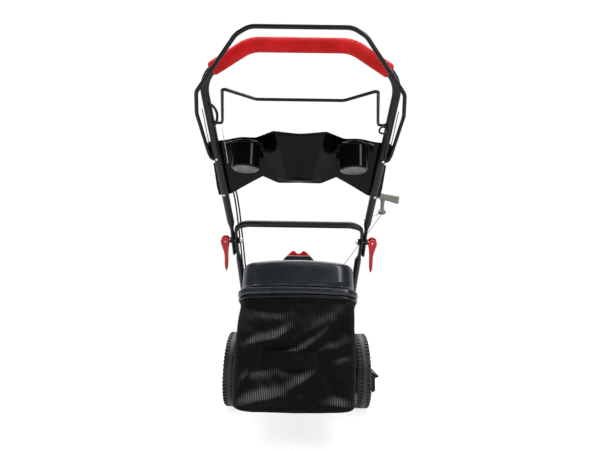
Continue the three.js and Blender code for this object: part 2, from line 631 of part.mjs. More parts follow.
function addJoint(name, side) {
  const y = JOINT.along;
  const face = FLAT.leg - FLAT.half;
  const inner = side * (face - 10);
  const pin = bar([side * JOINT.pinX, y, -8.5], [side * JOINT.pinX, y, 8.5], JOINT.pin, 10);
  const nut = bar([inner - side, y, 0], [inner + side * 6, y, 0], 8, 6);
  const seat = bar([side * (face - 3.5), y, 0], [side * (face - GAP), y, 0], 9.5, 12);
  const shank = bar([inner, y, 0], [side * (JOINT.pinX + 5), y, 0], JOINT.bolt, 10);
  add("cam_bolt_" + name, join(shank, nut, seat, pin), "steel", handle);

  // Offsets from the pin: x is away from the tube and y is up the handle.
  const profile = [
    [-11, 11], [-2, 15.5], [6, 14], [13, 6], [14, -12], [10, -42], [12, -90], [15, -112], [5, -118], [1, -84],
    [-2, -46], [-6, -22], [-12, -6],
  ].map(([x, up]) => [side * (JOINT.pinX + x), y + up]);
  const arm = slab(side > 0 ? profile.reverse() : profile, -9, 9);
  const fork = block(-400, 400, y - 9, y + 40, -4.6, 4.6);
  const eye = bar([side * JOINT.pinX, y, -20], [side * JOINT.pinX, y, 20], JOINT.pin + GAP, 12);
  add("cam_lever_" + name, cut(arm, fork, eye), "redPlastic", handle);
}

function addBail() {
  const group = new THREE.Group();
  group.position.set(0, BAIL.along, 0);
  group.rotation.x = BAIL.tilt;
  handle.add(group);
  const path = symmetricPath([[112, 353], [143, 336], [256, 199], [266, 140], [256, 18], [252, 0]], [24, 30, 25, 40, 4]);
  const rod = sweep(path, BAIL.rod, 8);
  const stubs = SIDES.map(([, side]) => bar([side * 249.4, 0, 0], [side * 257, 0, 0], BAIL.rod, 8));
  add("brake_bail", join(rod, ...stubs), "blackPaint", group);
}

function addDriveLever() {
  const group = new THREE.Group();
  group.position.set(0, LEVER.along, 0);
  group.rotation.x = LEVER.tilt;
  handle.add(group);
  const path = symmetricPath([[102, 136], [172, 184], [204, 22], [210, 0], [228, 0]], [15, 7, 20, 6]);
  add("drive_lever", sweep(path, LEVER.rod, 8), "blackPaint", group);
}

// ---------------------------------------------------------------- console

function addConsole() {
  const outline = mirrored([
    [0, 748], [60, 746], [109, 767], [210, 704], [247, 698], [251, 806], [236, 806], [237, 816], [257, 816],
    [261, 866], [252, 873], [205, 877], [166, 885], [129, 886], [114, 890], [82, 900], [0, 896],
  ]);
  const panel = slab(outline, -16.5, -12.5);
  const face = (x, y) => 8 + (26 * (y - 752)) / 156;
  const low = mirrored([[0, 750], [62, 750], [84, 838], [82, 899], [0, 895]]);
  const high = mirrored([[0, 768], [40, 772], [54, 850], [68, 920], [0, 915]]);
  const shrink = (points) => points.map(([x, y]) => [x * 0.93, 832 + (y - 832) * 0.94]);
  const bulge = loft(low, high, () => -15, face);
  const bulgeBore = loft(shrink(low), shrink(high), () => -20, (x, y) => face(x, y) - 3);
  const shelf = common(
    block(-206, 206, CUP.y - 47, CUP.y + 60, CUP.rim - 4, CUP.rim).applyMatrix4(intoHandle),
    block(-300, 300, 600, 1000, -16.5, 200),
  );
  const cups = SIDES.map(([, side]) => common(
    bar([side * CUP.x, CUP.y, CUP.bottom], [side * CUP.x, CUP.y, CUP.rim], CUP.radius, 18).applyMatrix4(intoHandle),
    block(-300, 300, 600, 1000, -16.5, 200),
  ));
  const bores = SIDES.map(([, side]) => bar(
    [side * CUP.x, CUP.y, CUP.bottom + 3], [side * CUP.x, CUP.y, CUP.rim + 90], CUP.radius - CUP.wall, 18,
  ).applyMatrix4(intoHandle));
  add("console", cut(join(panel, bulge, shelf, ...cups), bulgeBore, ...bores), "blackGloss", handle);
}

// ---------------------------------------------------------------- starter pull and cables

function addStarter() {
  const at = [GUIDE.x, GUIDE.along, GUIDE.out];
  const arm = rounded([
    new THREE.Vector3(tubeHalf(GUIDE.along) + 2, GUIDE.along - 8, -HANDLE.tube - 4.4),
    new THREE.Vector3(GUIDE.x - 18, GUIDE.along - 4, -HANDLE.tube - 6),
    new THREE.Vector3(GUIDE.x - 6, GUIDE.along, GUIDE.out),
  ], [8]);
  const pull = new THREE.Vector3(0, Math.cos(PULL - HANDLE.slope), -Math.sin(PULL - HANDLE.slope));
  const centre = new THREE.Vector3(...at);
  const point = (reach) => centre.clone().addScaledVector(pull, reach).toArray();
  const eye = cut(bar(point(-4), point(3), 12, 14), bar(point(-20), point(20), 3.4, 8));
  add("rope_guide", cut(join(sweep(arm, 3.6, 8), eye), bar(point(-20), point(20), 3.4, 8)), "steel", handle);

  const stem = bar(point(3 + GAP), point(56), 6, 10);
  const top = centre.clone().addScaledVector(pull, 54);
  const half = 50;
  const tilt = 14 * DEG;
  const wing = new THREE.Vector3(half * Math.cos(tilt), -half * Math.sin(tilt), 0);
  const cross = bar(top.clone().sub(wing).toArray(), top.clone().add(wing).toArray(), 9, 12);
  add("starter_grip", join(stem, cross), "greyPlastic", handle);

  const shroudLow = DECK.top + GAP + 84;
  const start = new THREE.Vector3(31.5, BLADE.y - 82, shroudLow + 80.6);
  const end = onHandle(...point(-4 - GAP));
  const before = onHandle(...point(-14)).add(new THREE.Vector3(-4, 4, 0));
  const middle = start.clone().lerp(before, 0.5).add(new THREE.Vector3(0, 0, -6));
  add("starter_rope", cord([start, start.clone().lerp(middle, 0.5).add(new THREE.Vector3(0, 0, -3)), middle,
    middle.clone().lerp(before, 0.5).add(new THREE.Vector3(0, 0, -3)), before, end], 3.6, 18), "rope");
}

function addCables() {
  // Both cables come down the front side of the left tube, over the crossbar and down the lower leg.
  const lane = (x) => [
    onHandle(x - 4, 700, -22),
    onHandle(x, 640, -21),
    onHandle(x + 1, 590, -20),
    onHandle(x + 2, 480, -20),
    onHandle(x + 2, 300, -19),
    onHandle(x + 1, 120, -20),
  ];
  add("brake_cable", cord([
    onHandle(-222, 806, -20), onHandle(-216, 750, -21), ...lane(-199),
    [-196, -34, 312], [-191, 20, 300], [-182, 80, 288], [-170, 150, 270], [-142, 205, 252], [-114 - GAP, 225, 243],
  ], 5, 32), "blackPlastic");
  add("drive_cable", cord([
    onHandle(-206, 862, -21), onHandle(-207, 800, -21), onHandle(-203, 750, -22), ...lane(-190),
    [-189, -24, 296], [-189, 12, 262], [-187, 38, 230], [-186, 45, 200], [-185, 46, 172], [-150, 48, 128], [-90, 54, 114],
    [-26 - GAP, 58, 112],
  ], 5, 36), "blackPlastic");
}

// ---------------------------------------------------------------- grass bag

// The bag's rim lies in a plane that falls towards the front.
function rimZ(y) {
  return RIM.backZ - (y - BAG.back) * Math.tan(RIM.slope);
}

function rimWedge(low, high) {
  const y0 = BAG.back - 60;
  const y1 = BAG.front + 60;
  return sideSlab([[y0, rimZ(y0) + low], [y1, rimZ(y1) + low], [y1, rimZ(y1) + high], [y0, rimZ(y0) + high]], -260, 260);
}

function bagForm(inset) {
  const back = BAG.back + inset;
  const outline = [
    [back, 620], [back, 300], [back + 14, BAG.floor + inset + 24], [back + 38, BAG.floor + inset],
    [BAG.front - 40, BAG.floor + 22 + inset], [BAG.front + 80, BAG.floor + 44 + inset], [BAG.front + 80, 620],
  ];
  return sideSlab(outline, -BAG.half + inset, BAG.half - inset, 26, 3);
}

function lidForm(inset) {
  const back = LID.back + inset;
  const outline = [
    [back, 150], [LID.front + 90, 150], [LID.front + 90, 340 - inset], [LID.front, LID.frontZ - inset],
    [-318, LID.top - 8 - inset], [back + 4, LID.top - inset],
  ];
  return sideSlab(outline, -LID.half + inset, LID.half - inset, 40, 4);
}

function addBag() {
  const t = BAG.wall;
  const frontCut = block(-260, 260, BAG.front, 100, -50, 800);
  const below = rimWedge(-700, -9);
  const fabric = cut(common(bagForm(0), below), bagForm(t), frontCut);
  add("bag_fabric", fabric, "mesh");

  const ring = cut(common(bagForm(-t), rimWedge(-9 + GAP, 2)), bagForm(t + 2), frontCut);
  // Two hooks rest on the ends of the rear door's rod.
  const hookTop = DOOR.pivotZ + DOOR.rod + GAP;
  const hooks = [-BAG.half + 2, BAG.half - 8].map((x) => join(
    block(x, x + 6, BAG.front - 6, BAG.front + 2, 340, hookTop + 6),
    block(x, x + 6, BAG.front - 6, DOOR.pivotY + 6, hookTop, hookTop + 6),
  ));
  add("bag_rim", join(ring, ...hooks), "slatePlastic");

  const lid = cut(common(lidForm(0), rimWedge(2 + GAP, 700)), lidForm(t), frontCut);
  const humpY = -380;
  const seat = LID.top - 6;
  add("bag_lid", join(
    lid,
    sideSlab([[humpY - 36, seat - 2], [humpY + 36, seat - 4], [humpY + 28, seat + 22], [humpY - 28, seat + 22]],
      -50, 50, 10, 2),
  ), "slatePlastic");
  const insertLow = seat + 22 + GAP;
  add("lid_handle", slab([
    [-36, insertLow], [36, insertLow], [26, insertLow + 12], [19, insertLow + 19], [11, insertLow + 18],
    [5, insertLow + 11], [-5, insertLow + 11], [-11, insertLow + 18], [-19, insertLow + 19], [-26, insertLow + 12],
  ], humpY - 22, humpY + 22).applyMatrix4(new THREE.Matrix4().set(1, 0, 0, 0, 0, 0, -1, 2 * humpY, 0, 1, 0, 0, 0, 0, 0, 1)),
  "redPlastic");
  const strapY = BAG.back - GAP;
  add("bag_strap", cut(
    block(-95, 61, strapY - 12, strapY, 228, 280),
    block(-77, 43, strapY - 9, strapY + 5, 220, 290),
  ), "mesh");
}

// ---------------------------------------------------------------- assembly

addDeck();
addAxles();
for (const [name, side] of SIDES) {
  addWheel("rear_" + name, REAR_WHEEL, side, 0);
  addWheel("front_" + name, FRONT_WHEEL, side, AXLE.frontY);
  addJoint(name, side);
}
addDrive();
addCrank();
addEngine();
addDoor();
addSideFlap();
addHeightAdjuster();
addBrackets();
addHandle();
addBail();
addDriveLever();
addConsole();
addStarter();
addCables();
addBag();

mower.position.set(-GROUND.centreX, -GROUND.centreY, 0);

export default mower;
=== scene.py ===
"""A rear-bagging lawn mower seen from behind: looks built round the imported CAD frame.

Shapes are worked out in the mower's own millimetres, with the rear axle at y = 0 and the ground at z = 0.
OFFSET takes them to the row frame, and every mesh is stored there in metres.
"""

import math

import bmesh
import bpy
from mathutils import Matrix, Vector, noise


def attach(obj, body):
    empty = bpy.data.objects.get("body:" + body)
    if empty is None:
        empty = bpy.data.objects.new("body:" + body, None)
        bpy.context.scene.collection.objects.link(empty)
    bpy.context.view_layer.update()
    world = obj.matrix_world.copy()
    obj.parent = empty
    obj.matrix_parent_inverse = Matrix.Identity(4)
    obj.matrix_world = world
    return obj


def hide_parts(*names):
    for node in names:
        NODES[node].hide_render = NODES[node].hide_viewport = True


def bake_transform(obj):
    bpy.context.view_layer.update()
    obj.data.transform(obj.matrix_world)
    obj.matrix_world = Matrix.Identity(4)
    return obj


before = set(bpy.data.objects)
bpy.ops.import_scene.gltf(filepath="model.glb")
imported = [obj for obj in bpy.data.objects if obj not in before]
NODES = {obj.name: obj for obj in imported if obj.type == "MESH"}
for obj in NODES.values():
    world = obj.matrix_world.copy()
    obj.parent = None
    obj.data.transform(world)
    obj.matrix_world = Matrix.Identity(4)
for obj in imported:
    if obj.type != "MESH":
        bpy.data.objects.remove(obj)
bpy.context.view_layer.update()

OFFSET = Vector((-43.0, 91.3, 0.0))
MM = 0.001

# ------------------------------------------------------------------ places


def row(point):
    return (Vector(point) + OFFSET) * MM


SLOPE = math.radians(44.37)
UP_HANDLE = Vector((0, -math.cos(SLOPE), math.sin(SLOPE)))
OUT_HANDLE = Vector((0, -math.sin(SLOPE), -math.cos(SLOPE)))
HANDLE_FOOT = Vector((0, 13, 235))


def on_handle(x, along, out=0.0):
    """A point by the handle's own directions: across, up along it, and out from its underside."""
    return HANDLE_FOOT + Vector((x, 0, 0)) + UP_HANDLE * along + OUT_HANDLE * out


def tilted(pivot_along, tilt):
    """Points on a lever's own plane, which hangs from the handle at a pivot."""
    angle = math.radians(tilt)
    reach = UP_HANDLE * math.cos(angle) + OUT_HANDLE * math.sin(angle)
    return lambda x, m, off=0.0: on_handle(x, pivot_along) + reach * m + reach.cross(Vector((1, 0,
        0))) * off


# ------------------------------------------------------------------ materials


class Paint:
    """A principled material whose colour, roughness and bump come from procedural nodes."""

    def __init__(self, name, rough, metal=0.0, coat=0.0, coat_rough=0.1, sheen=0.0, specular=0.5):
        self.material = bpy.data.materials.new(name)
        self.material.use_nodes = True
        self.tree = self.material.node_tree
        self.shader = self.tree.nodes["Principled BSDF"]
        self.set("Roughness", rough)
        self.set("Metallic", metal)
        self.set("Coat Weight", coat)
        self.set("Coat Roughness", coat_rough)
        self.set("Sheen Weight", sheen)
        self.set("Specular IOR Level", specular)
        self.place = self.node("ShaderNodeTexCoord").outputs["Object"]
        self.height = None

    def set(self, socket, value):
        self.shader.inputs[socket].default_value = value

    def node(self, kind, **values):
        made = self.tree.nodes.new(kind)
        for key, value in values.items():
            setattr(made, key, value)
        return made

    def link(self, source, target):
        self.tree.links.new(source, target)

    def noise(self, scale, detail=3.0, stretch=(1, 1, 1), rough=0.55):
        mapping = self.node("ShaderNodeMapping")
        mapping.inputs["Scale"].default_value = stretch
        self.link(self.place, mapping.inputs["Vector"])
        texture = self.node("ShaderNodeTexNoise")
        texture.inputs["Scale"].default_value = scale
        texture.inputs["Detail"].default_value = detail
        texture.inputs["Roughness"].default_value = rough
        self.link(mapping.outputs["Vector"], texture.inputs["Vector"])
        return texture.outputs["Fac"]

    def wave(self, scale, direction, distortion=0.0, kind="SIN"):
        texture = self.node("ShaderNodeTexWave", wave_type="BANDS", bands_direction=direction,
            wave_profile=kind)
        texture.inputs["Scale"].default_value = scale
        texture.inputs["Distortion"].default_value = distortion
        self.link(self.place, texture.inputs["Vector"])
        return texture.outputs["Fac"]

    def ramp(self, source, low, high, colours):
        made = self.node("ShaderNodeValToRGB")
        made.color_ramp.elements[0].position = low
        made.color_ramp.elements[1].position = high
        for element, colour in zip(made.color_ramp.elements, colours):
            element.color = (*colour, 1.0)
        self.link(source, made.inputs["Fac"])
        return made.outputs["Color"]

    def colour(self, source, low, high, colours):
        self.link(self.ramp(source, low, high, colours), self.shader.inputs["Base Color"])
        return self

    def roughness(self, source, low, high):
        made = self.node("ShaderNodeMapRange")
        made.inputs["From Min"].default_value = 0.3
        made.inputs["From Max"].default_value = 0.7
        made.inputs["To Min"].default_value = low
        made.inputs["To Max"].default_value = high
        self.link(source, made.inputs["Value"])
        self.link(made.outputs["Result"], self.shader.inputs["Roughness"])
        return self

    def bump(self, source, strength, distance):
        made = self.node("ShaderNodeBump")
        made.inputs["Strength"].default_value = strength
        made.inputs["Distance"].default_value = distance
        self.link(source, made.inputs["Height"])
        if self.height is not None:
            self.link(self.height, made.inputs["Normal"])
        self.height = made.outputs["Normal"]
        self.link(self.height, self.shader.inputs["Normal"])
        return self


def plain(name, dark, light, rough, grain=900.0, grain_depth=0.00006, **extra):
    """Moulded or painted stuff: faint colour drift, uneven gloss and a fine grain."""
    paint = Paint(name, rough, **extra)
    drift = paint.noise(14.0, 4.0)
    paint.colour(drift, 0.35, 0.65, (dark, light))
    paint.roughness(paint.noise(45.0, 3.0), rough * 0.82, min(1.0, rough * 1.2))
    paint.bump(paint.noise(grain, 2.0), 0.35, grain_depth)
    return paint


PAINTS = {
    "tube": plain("black_tube_enamel", (0.0045, 0.0045, 0.0048), (0.008, 0.008, 0.0085), 0.36, 700, 0.00004,
                  specular=0.26),
    "rod": plain("black_rod_coat", (0.002, 0.002, 0.002), (0.004, 0.004, 0.004), 0.32, 900, 0.00004,
        specular=0.22),
    "gloss": plain("console_gloss", (0.0008, 0.0008, 0.0009), (0.0014, 0.0014, 0.0016), 0.14, 60, 0.00006,
                   specular=0.11),
    "panel": plain("console_face", (0.0046, 0.0041, 0.0035), (0.0066, 0.0058, 0.005), 0.4, 1100, 0.00003,
                   specular=0.07),
    # the cup floors' light grey is a painted reflection of the bright floor on black plastic; only the bump grain is
    # the plastic's own
    "cup_floor": plain("cup_floor_grain_and_painted_glare", (0.02, 0.02, 0.02), (0.13, 0.13, 0.125), 0.6, 200, 0.0005,
        specular=0.2),
    "grip": plain("red_foam", (0.34, 0.004, 0.005), (0.46, 0.009, 0.010), 0.62, 1500, 0.00012,
        specular=0.12),
    "red": plain("red_plastic_gloss", (0.32, 0.004, 0.004), (0.43, 0.009, 0.008), 0.3, 1200, 0.00003,
        specular=0.25),
    "deck": plain("red_enamel", (0.30, 0.006, 0.008), (0.36, 0.009, 0.011), 0.22, 240, 0.00003,
        specular=0.4,
                  coat=0.5, coat_rough=0.08),
    "slate": plain("slate_lid", (0.0085, 0.0105, 0.0135), (0.0125, 0.0155, 0.0195), 0.28, 1300, 0.00005,
                   specular=0.34),
    # a darker, duller copy of the lid's slate: painted shade for the rim's lower lip, which sits under the upper lip
    "rim": plain("slate_rim_painted_shade", (0.003, 0.0036, 0.0044), (0.0055, 0.0066, 0.0078), 0.26, 1300, 0.00005,
        specular=0.2),
    "plastic": plain("grained_black", (0.003, 0.003, 0.0034), (0.006, 0.006, 0.0065), 0.46, 1200, 0.0001,
                     specular=0.18),
    "khaki": plain("khaki_grip", (0.1, 0.098, 0.084), (0.165, 0.162, 0.14), 0.42, 900, 0.00006,
        specular=0.35),
    "steel": plain("zinc_steel", (0.42, 0.42, 0.43), (0.62, 0.62, 0.62), 0.28, 600, 0.00002, metal=1.0),
    "alloy": plain("cast_alloy", (0.30, 0.30, 0.31), (0.46, 0.46, 0.47), 0.46, 420, 0.0003, metal=0.9),
    "cable": plain("cable_sleeve", (0.003, 0.003, 0.003), (0.006, 0.006, 0.006), 0.38, 500, 0.00003,
        specular=0.25),
    "line": plain("starter_line", (0.24, 0.24, 0.23), (0.36, 0.36, 0.35), 0.7, 1600, 0.0002),
    "belt": plain("belt_rubber", (0.008, 0.008, 0.008), (0.02, 0.02, 0.02), 0.8, 700, 0.0002, specular=0.3),
    "tyre": plain("tyre_rubber", (0.014, 0.0145, 0.016), (0.026, 0.027, 0.029), 0.5, 500, 0.00012,
        specular=0.22),
}


def bag_material():
    """Black ribbed mesh with a painted sheen: the cords' colour is lighter wherever the cloth leans back to face
    upwards, a painted highlight for the light from above.
    """
    paint = Paint("bag_mesh", 0.6, specular=0.03)
    paint.place = paint.node("ShaderNodeTexCoord").outputs["UV"]
    ribs = paint.wave(65.0, "X", 0.25)
    drift = paint.noise(11.0, 4.0)
    split = paint.node("ShaderNodeSeparateXYZ")
    paint.link(paint.node("ShaderNodeNewGeometry").outputs["True Normal"], split.inputs["Vector"])
    # painted highlight: the more the cloth faces upwards, the lighter its cords are painted
    upward_sheen_mask = paint.node("ShaderNodeMapRange", interpolation_type="SMOOTHSTEP")
    upward_sheen_mask.inputs["From Min"].default_value = -0.02
    upward_sheen_mask.inputs["From Max"].default_value = 0.5
    upward_sheen_mask.inputs["To Min"].default_value = 0.04
    paint.link(split.outputs["Z"], upward_sheen_mask.inputs["Value"])
    painted_sheen = upward_sheen_mask.outputs["Result"]
    for factor in (ribs, ribs, drift):
        step = paint.node("ShaderNodeMath", operation="MULTIPLY")
        paint.link(painted_sheen, step.inputs[0])
        paint.link(factor, step.inputs[1])
        painted_sheen = step.outputs[0]
    # from near-black cloth up to the light grey of the painted highlight on the cords
    paint.colour(painted_sheen, 0.0, 0.5, ((0.0022, 0.0024, 0.0025), (0.11, 0.115, 0.12)))
    paint.bump(ribs, 0.8, 0.0012)
    paint.bump(paint.noise(900, 2.0, (1, 1, 0.4)), 0.3, 0.0003)
    return paint


PAINTS["mesh"] = bag_material()
PAINTS["web"] = plain("strap_web", (0.0012, 0.0012, 0.0012), (0.0045, 0.0045, 0.0045), 0.65, 900, 0.0002,
    specular=0.06)
PAINTS["web"].bump(PAINTS["web"].wave(90.0, "X", 0.2), 0.7, 0.001)

# ------------------------------------------------------------------ mesh helpers


def piece(name, verts, faces, paint, body, slot=None, replaces=(), sharp=32.0):
    """A closed mesh, given in the mower's millimetres, that rides on a CAD body, or on none when no body is given.
    """
    mesh = bpy.data.meshes.new(name)
    mesh.from_pydata([row(v) for v in verts], [], faces)
    work = bmesh.new()
    work.from_mesh(mesh)
    bmesh.ops.remove_doubles(work, verts=work.verts, dist=1e-6)
    bmesh.ops.recalc_face_normals(work, faces=work.faces)
    work.to_mesh(mesh)
    work.free()
    mesh.shade_smooth()
    mesh.set_sharp_from_angle(angle=math.radians(sharp))
    mesh.materials.append(PAINTS[paint].material)
    made = bpy.data.objects.new(name, mesh)
    bpy.context.scene.collection.objects.link(made)
    if body:
        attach(made, body)
    if replaces:
        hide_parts(*replaces)
    return made


def add_modifier(made, kind, name, **values):
    modifier = made.modifiers.new(name, kind)
    for key, value in values.items():
        setattr(modifier, key, value)
    return made


def bevelled(made, width, segments=2, angle=35.0):
    """Rounds a piece's sharp edges; the width is in millimetres."""
    return add_modifier(made, "BEVEL", "edge", width=width * MM, segments=segments, limit_method="ANGLE",
                        angle_limit=math.radians(angle), harden_normals=False)


def round_path(corners, radii, step=7.0):
    """Straight runs joined by arcs. radii holds one radius for each inner corner."""
    path = [corners[0].copy()]
    for corner, before, after, radius in zip(corners[1:-1], corners, corners[2:], radii):
        into, out = (corner - before).normalized(), (after - corner).normalized()
        turn = into.angle(out)
        if radius <= 0 or turn < 1e-4:
            path.append(corner.copy())
            continue
        centre = corner + (out - into).normalized() * (radius / math.cos(turn / 2))
        first = corner - into * (radius * math.tan(turn / 2))
        axis = into.cross(out).normalized()
        steps = max(2, math.ceil(math.degrees(turn) / step))
        for k in range(steps + 1):
            path.append(centre + Matrix.Rotation(turn * k / steps, 3, axis) @ (first - centre))
    path.append(corners[-1].copy())
    return path


def smooth_path(points, per_span=6):
    """A Catmull-Rom run through points."""
    ends = [points[0] * 2 - points[1], *points, points[-1] * 2 - points[-2]]
    path = []
    for a, b, c, d in zip(ends, ends[1:], ends[2:], ends[3:]):
        for k in range(per_span):
            t = k / per_span
            path.append(0.5 * (2 * b + (c - a) * t + (2 * a - 5 * b + 4 * c - d) * t * t
                               + (3 * b - a - 3 * c + d) * t ** 3))
    return [*path, points[-1].copy()]


def skin(rings, caps=True, closed=False):
    """Faces over rings that have the same number of points."""
    n = len(rings[0])
    verts = [p for ring in rings for p in ring]
    count = len(rings)
    faces = []
    for r in range(count if closed else count - 1):
        a, b = r * n, ((r + 1) % count) * n
        faces += [(a + k, a + (k + 1) % n, b + (k + 1) % n, b + k) for k in range(n)]
    if caps and not closed:
        faces += [tuple(range(n - 1, -1, -1)), tuple(range((count - 1) * n, count * n))]
    return verts, faces


def sweep(path, section, start=None, caps=True, closed=False):
    """A section of (side, up, scale-free) points carried along a path without twisting."""
    tangents = []
    for k, here in enumerate(path):
        before = path[k - 1] if (k or closed) else here
        after = path[(k + 1) % len(path)] if (k + 1 < len(path) or closed) else here
        tangents.append((after - before).normalized())
    side = start or (Vector((0, 0, 1)) if abs(tangents[0].z) < 0.9 else Vector((1, 0, 0)))
    side = (side - tangents[0] * side.dot(tangents[0])).normalized()
    rings = []
    for k, (here, along) in enumerate(zip(path, tangents)):
        if k:
            side = tangents[k - 1].rotation_difference(along) @ side
            side = (side - along * side.dot(along)).normalized()
        up = along.cross(side)
        shape = section(k / max(1, len(path) - 1)) if callable(section) else section
        rings.append([here + side * a + up * b for a, b in shape])
    return skin(rings, caps, closed)


def circle(radius, sides, squash=1.0):
    return [(radius * math.cos(2 * math.pi * k / sides),
        radius * squash * math.sin(2 * math.pi * k / sides))
            for k in range(sides)]


def lathe(profile, sides, origin, axis="Z"):
    """A turned shape about a line through origin. profile is (radius, distance along the axis)."""
    along, side = {"Z": (Vector((0, 0, 1)), Vector((1, 0, 0))), "X": (Vector((1, 0, 0)), Vector((0, 1, 0))),
                   "Y": (Vector((0, 1, 0)), Vector((0, 0, 1)))}.get(axis, (None, None)) if isinstance(axis,
                       str) else (
        axis.normalized(), axis.orthogonal().normalized())
    up = along.cross(side)
    rings = [[Vector(origin) + along * z + (side * math.cos(a) + up * math.sin(a)) * max(r, 1e-4)
              for a in (2 * math.pi * k / sides for k in range(sides))] for r, z in profile]
    return skin(rings)


def prism(outline, place, low, high):
    """An outline of flat points pushed from low to high; place(a, b, c) gives each point."""
    return skin([[place(a, b, low) for a, b in outline], [place(a, b, high) for a, b in outline]])


def merge(*parts):
    verts, faces = [], []
    for more_verts, more_faces in parts:
        base = len(verts)
        verts += more_verts
        faces += [tuple(base + i for i in face) for face in more_faces]
    return verts, faces


def mirrored_path(half):
    return [Vector((-p.x, p.y, p.z)) for p in reversed(half)] + half


# ------------------------------------------------------------------ handle tubes, bail and lever


def symmetric(place, points, radii):
    """A rounded run, mirrored about the middle; points start at the middle's right corner."""
    half = [place(x, along) for x, along in points]
    return round_path(mirrored_path(half), [*reversed(radii), *radii])


TUBE = circle(11.0, 28)
# Along the handle, each tube is pressed to half its width from the second height to the third.
LEG_FLAT = (460, 474, 578, 598)
UPPER_FLAT = (440, 460, 584, 604)


def smoothstep(value, low, high):
    share = max(0.0, min(1.0, (value - low) / (high - low)))
    return share * share * (3 - 2 * share)


def leg_half(along):
    return 191 + 14 * (along + 8) / 609


def tube_half(along):
    return max(213.0, 213 + 33 * (along - 534) / 461)


def pressed(verts, centre, target, zone):
    """Press the tube's legs flat where the two tubes lie side by side."""
    out = []
    for v in verts:
        along = (v - HANDLE_FOOT).dot(UP_HANDLE)
        weight = (smoothstep(along, zone[0], zone[1]) * (1 - smoothstep(along, zone[2], zone[3]))
                  * smoothstep(abs(v.x), 165, 185))
        flat = math.copysign(target + (abs(v.x) - centre(along)) * 0.5, v.x)
        out.append(Vector((v.x + weight * (flat - v.x), v.y, v.z)))
    return out


def filled(path, step=12.0):
    """The same path with more points along its straight runs."""
    out = [path[0]]
    for a, b in zip(path, path[1:]):
        parts = max(1, int((b - a).length / step))
        out += [a.lerp(b, (k + 1) / parts) for k in range(parts)]
    return out


def build_handle():
    upper = symmetric(on_handle, [(122, 1125), (248, 1052), (213, 550), (213, 479)], [70, 75, 200])
    verts, faces = sweep(filled(upper), TUBE)
    piece("upper_tube", pressed(verts, tube_half, 216.5, UPPER_FLAT), faces, "tube", "upper_handle",
        "black_paint",
          ["upper_handle"])
    lower = symmetric(on_handle, [(205, 601), (191, -8)], [45])
    verts, faces = sweep(filled(lower), TUBE)
    piece("lower_tube", pressed(verts, leg_half, 204.7, LEG_FLAT), faces, "tube", "chassis", "black_paint",
          ["lower_handle"])

    slope = 73 / 126
    path = symmetric(on_handle, [(122, 1125), (219, 1125 - slope * 97)], [90])
    grip = sweep(filled(path), circle(17.2, 40))
    made = piece("grip_sleeve", *grip, "grip", "upper_handle", "red_rubber", ["grip"], 40)
    bevelled(made, 2.0, 3, 50)
    for side, name in ((-1, "left"), (1, "right")):
        end = on_handle(side * 219, 1125 - slope * 97)
        inward = (on_handle(side * 122, 1125) - end).normalized()
        collar = lathe([(11.2, -1.6), (15.2, -1.6), (16.4, 0.2), (16.4, 3.0), (11.2, 3.0)], 32, end, inward)
        piece(f"grip_collar_{name}", *collar, "plastic", "upper_handle", "red_rubber")

    bail = tilted(829, 12)
    path = symmetric(bail, [(112, 353), (143, 336), (256, 199), (266, 140), (256, 18), (252, 0)],
        [52, 52, 30, 50, 4])
    piece("bail_rod", *sweep(path, circle(5.0, 18)), "rod", "brake_bail", "black_paint", ["brake_bail"])
    lever = tilted(931, 46)
    path = symmetric(lever, [(102, 136), (172, 184), (204, 22), (210, 0), (228, 0)], [15, 7, 20, 6])
    piece("lever_rod", *sweep(path, circle(3.8, 16)), "rod", "drive_lever", "black_paint", ["drive_lever"])


def build_handle_fittings():
    """The wire hooks and pivots that the bail and the drive lever turn in."""
    hook = smooth_path([on_handle(-231, 985, 13), on_handle(-222, 977, 15), on_handle(-217, 962, 15),
                        on_handle(-219, 945, 14), on_handle(-226, 931, 12)])
    piece("lever_hook_left", *sweep(hook, circle(3.6, 14)), "rod", "upper_handle", "black_paint")
    loop = smooth_path([on_handle(234, 918, 12), on_handle(226, 913, 13), on_handle(214, 915, 13),
                        on_handle(212, 924, 13), on_handle(219, 931, 13), on_handle(229, 927, 13),
                        on_handle(232, 915, 13), on_handle(236, 880, 13), on_handle(238, 835, 12)])
    piece("lever_loop_right", *sweep(loop, circle(2.6, 12)), "rod", "upper_handle", "black_paint")
    wire = smooth_path([on_handle(-208, 938, 4), on_handle(-209, 900, 6), on_handle(-206, 855, 4),
                        on_handle(-206, 812, -2)])
    piece("drive_wire", *sweep(wire, circle(0.9, 8)), "steel", "upper_handle", "bare_steel")
    for side, name in ((-1, "left"), (1, "right")):
        for along, radius in ((829, 8.5), (931, 6.5)):
            half = tube_half(along)
            boss = lathe([(0.01, 8), (radius, 8), (radius, 13.0), (radius - 2, 15), (0.01, 15)], 24,
                         on_handle(side * half, along), Vector((side if along == 829 else -side, 0, 0)))
            piece(f"pivot_{along}_{name}", *boss, "plastic", "upper_handle", "black_plastic")
        stay = smooth_path([on_handle(side * 259, 968, -2), on_handle(side * 257, 940, -3),
                            on_handle(side * 255, 900, -3), on_handle(side * 252, 862, -4)])
        piece(f"console_stay_{name}", *sweep(stay, circle(1.2, 8)), "rod", "upper_handle", "black_paint")


CABLE_RADIUS = 2.6
LINE_RADIUS = 1.3


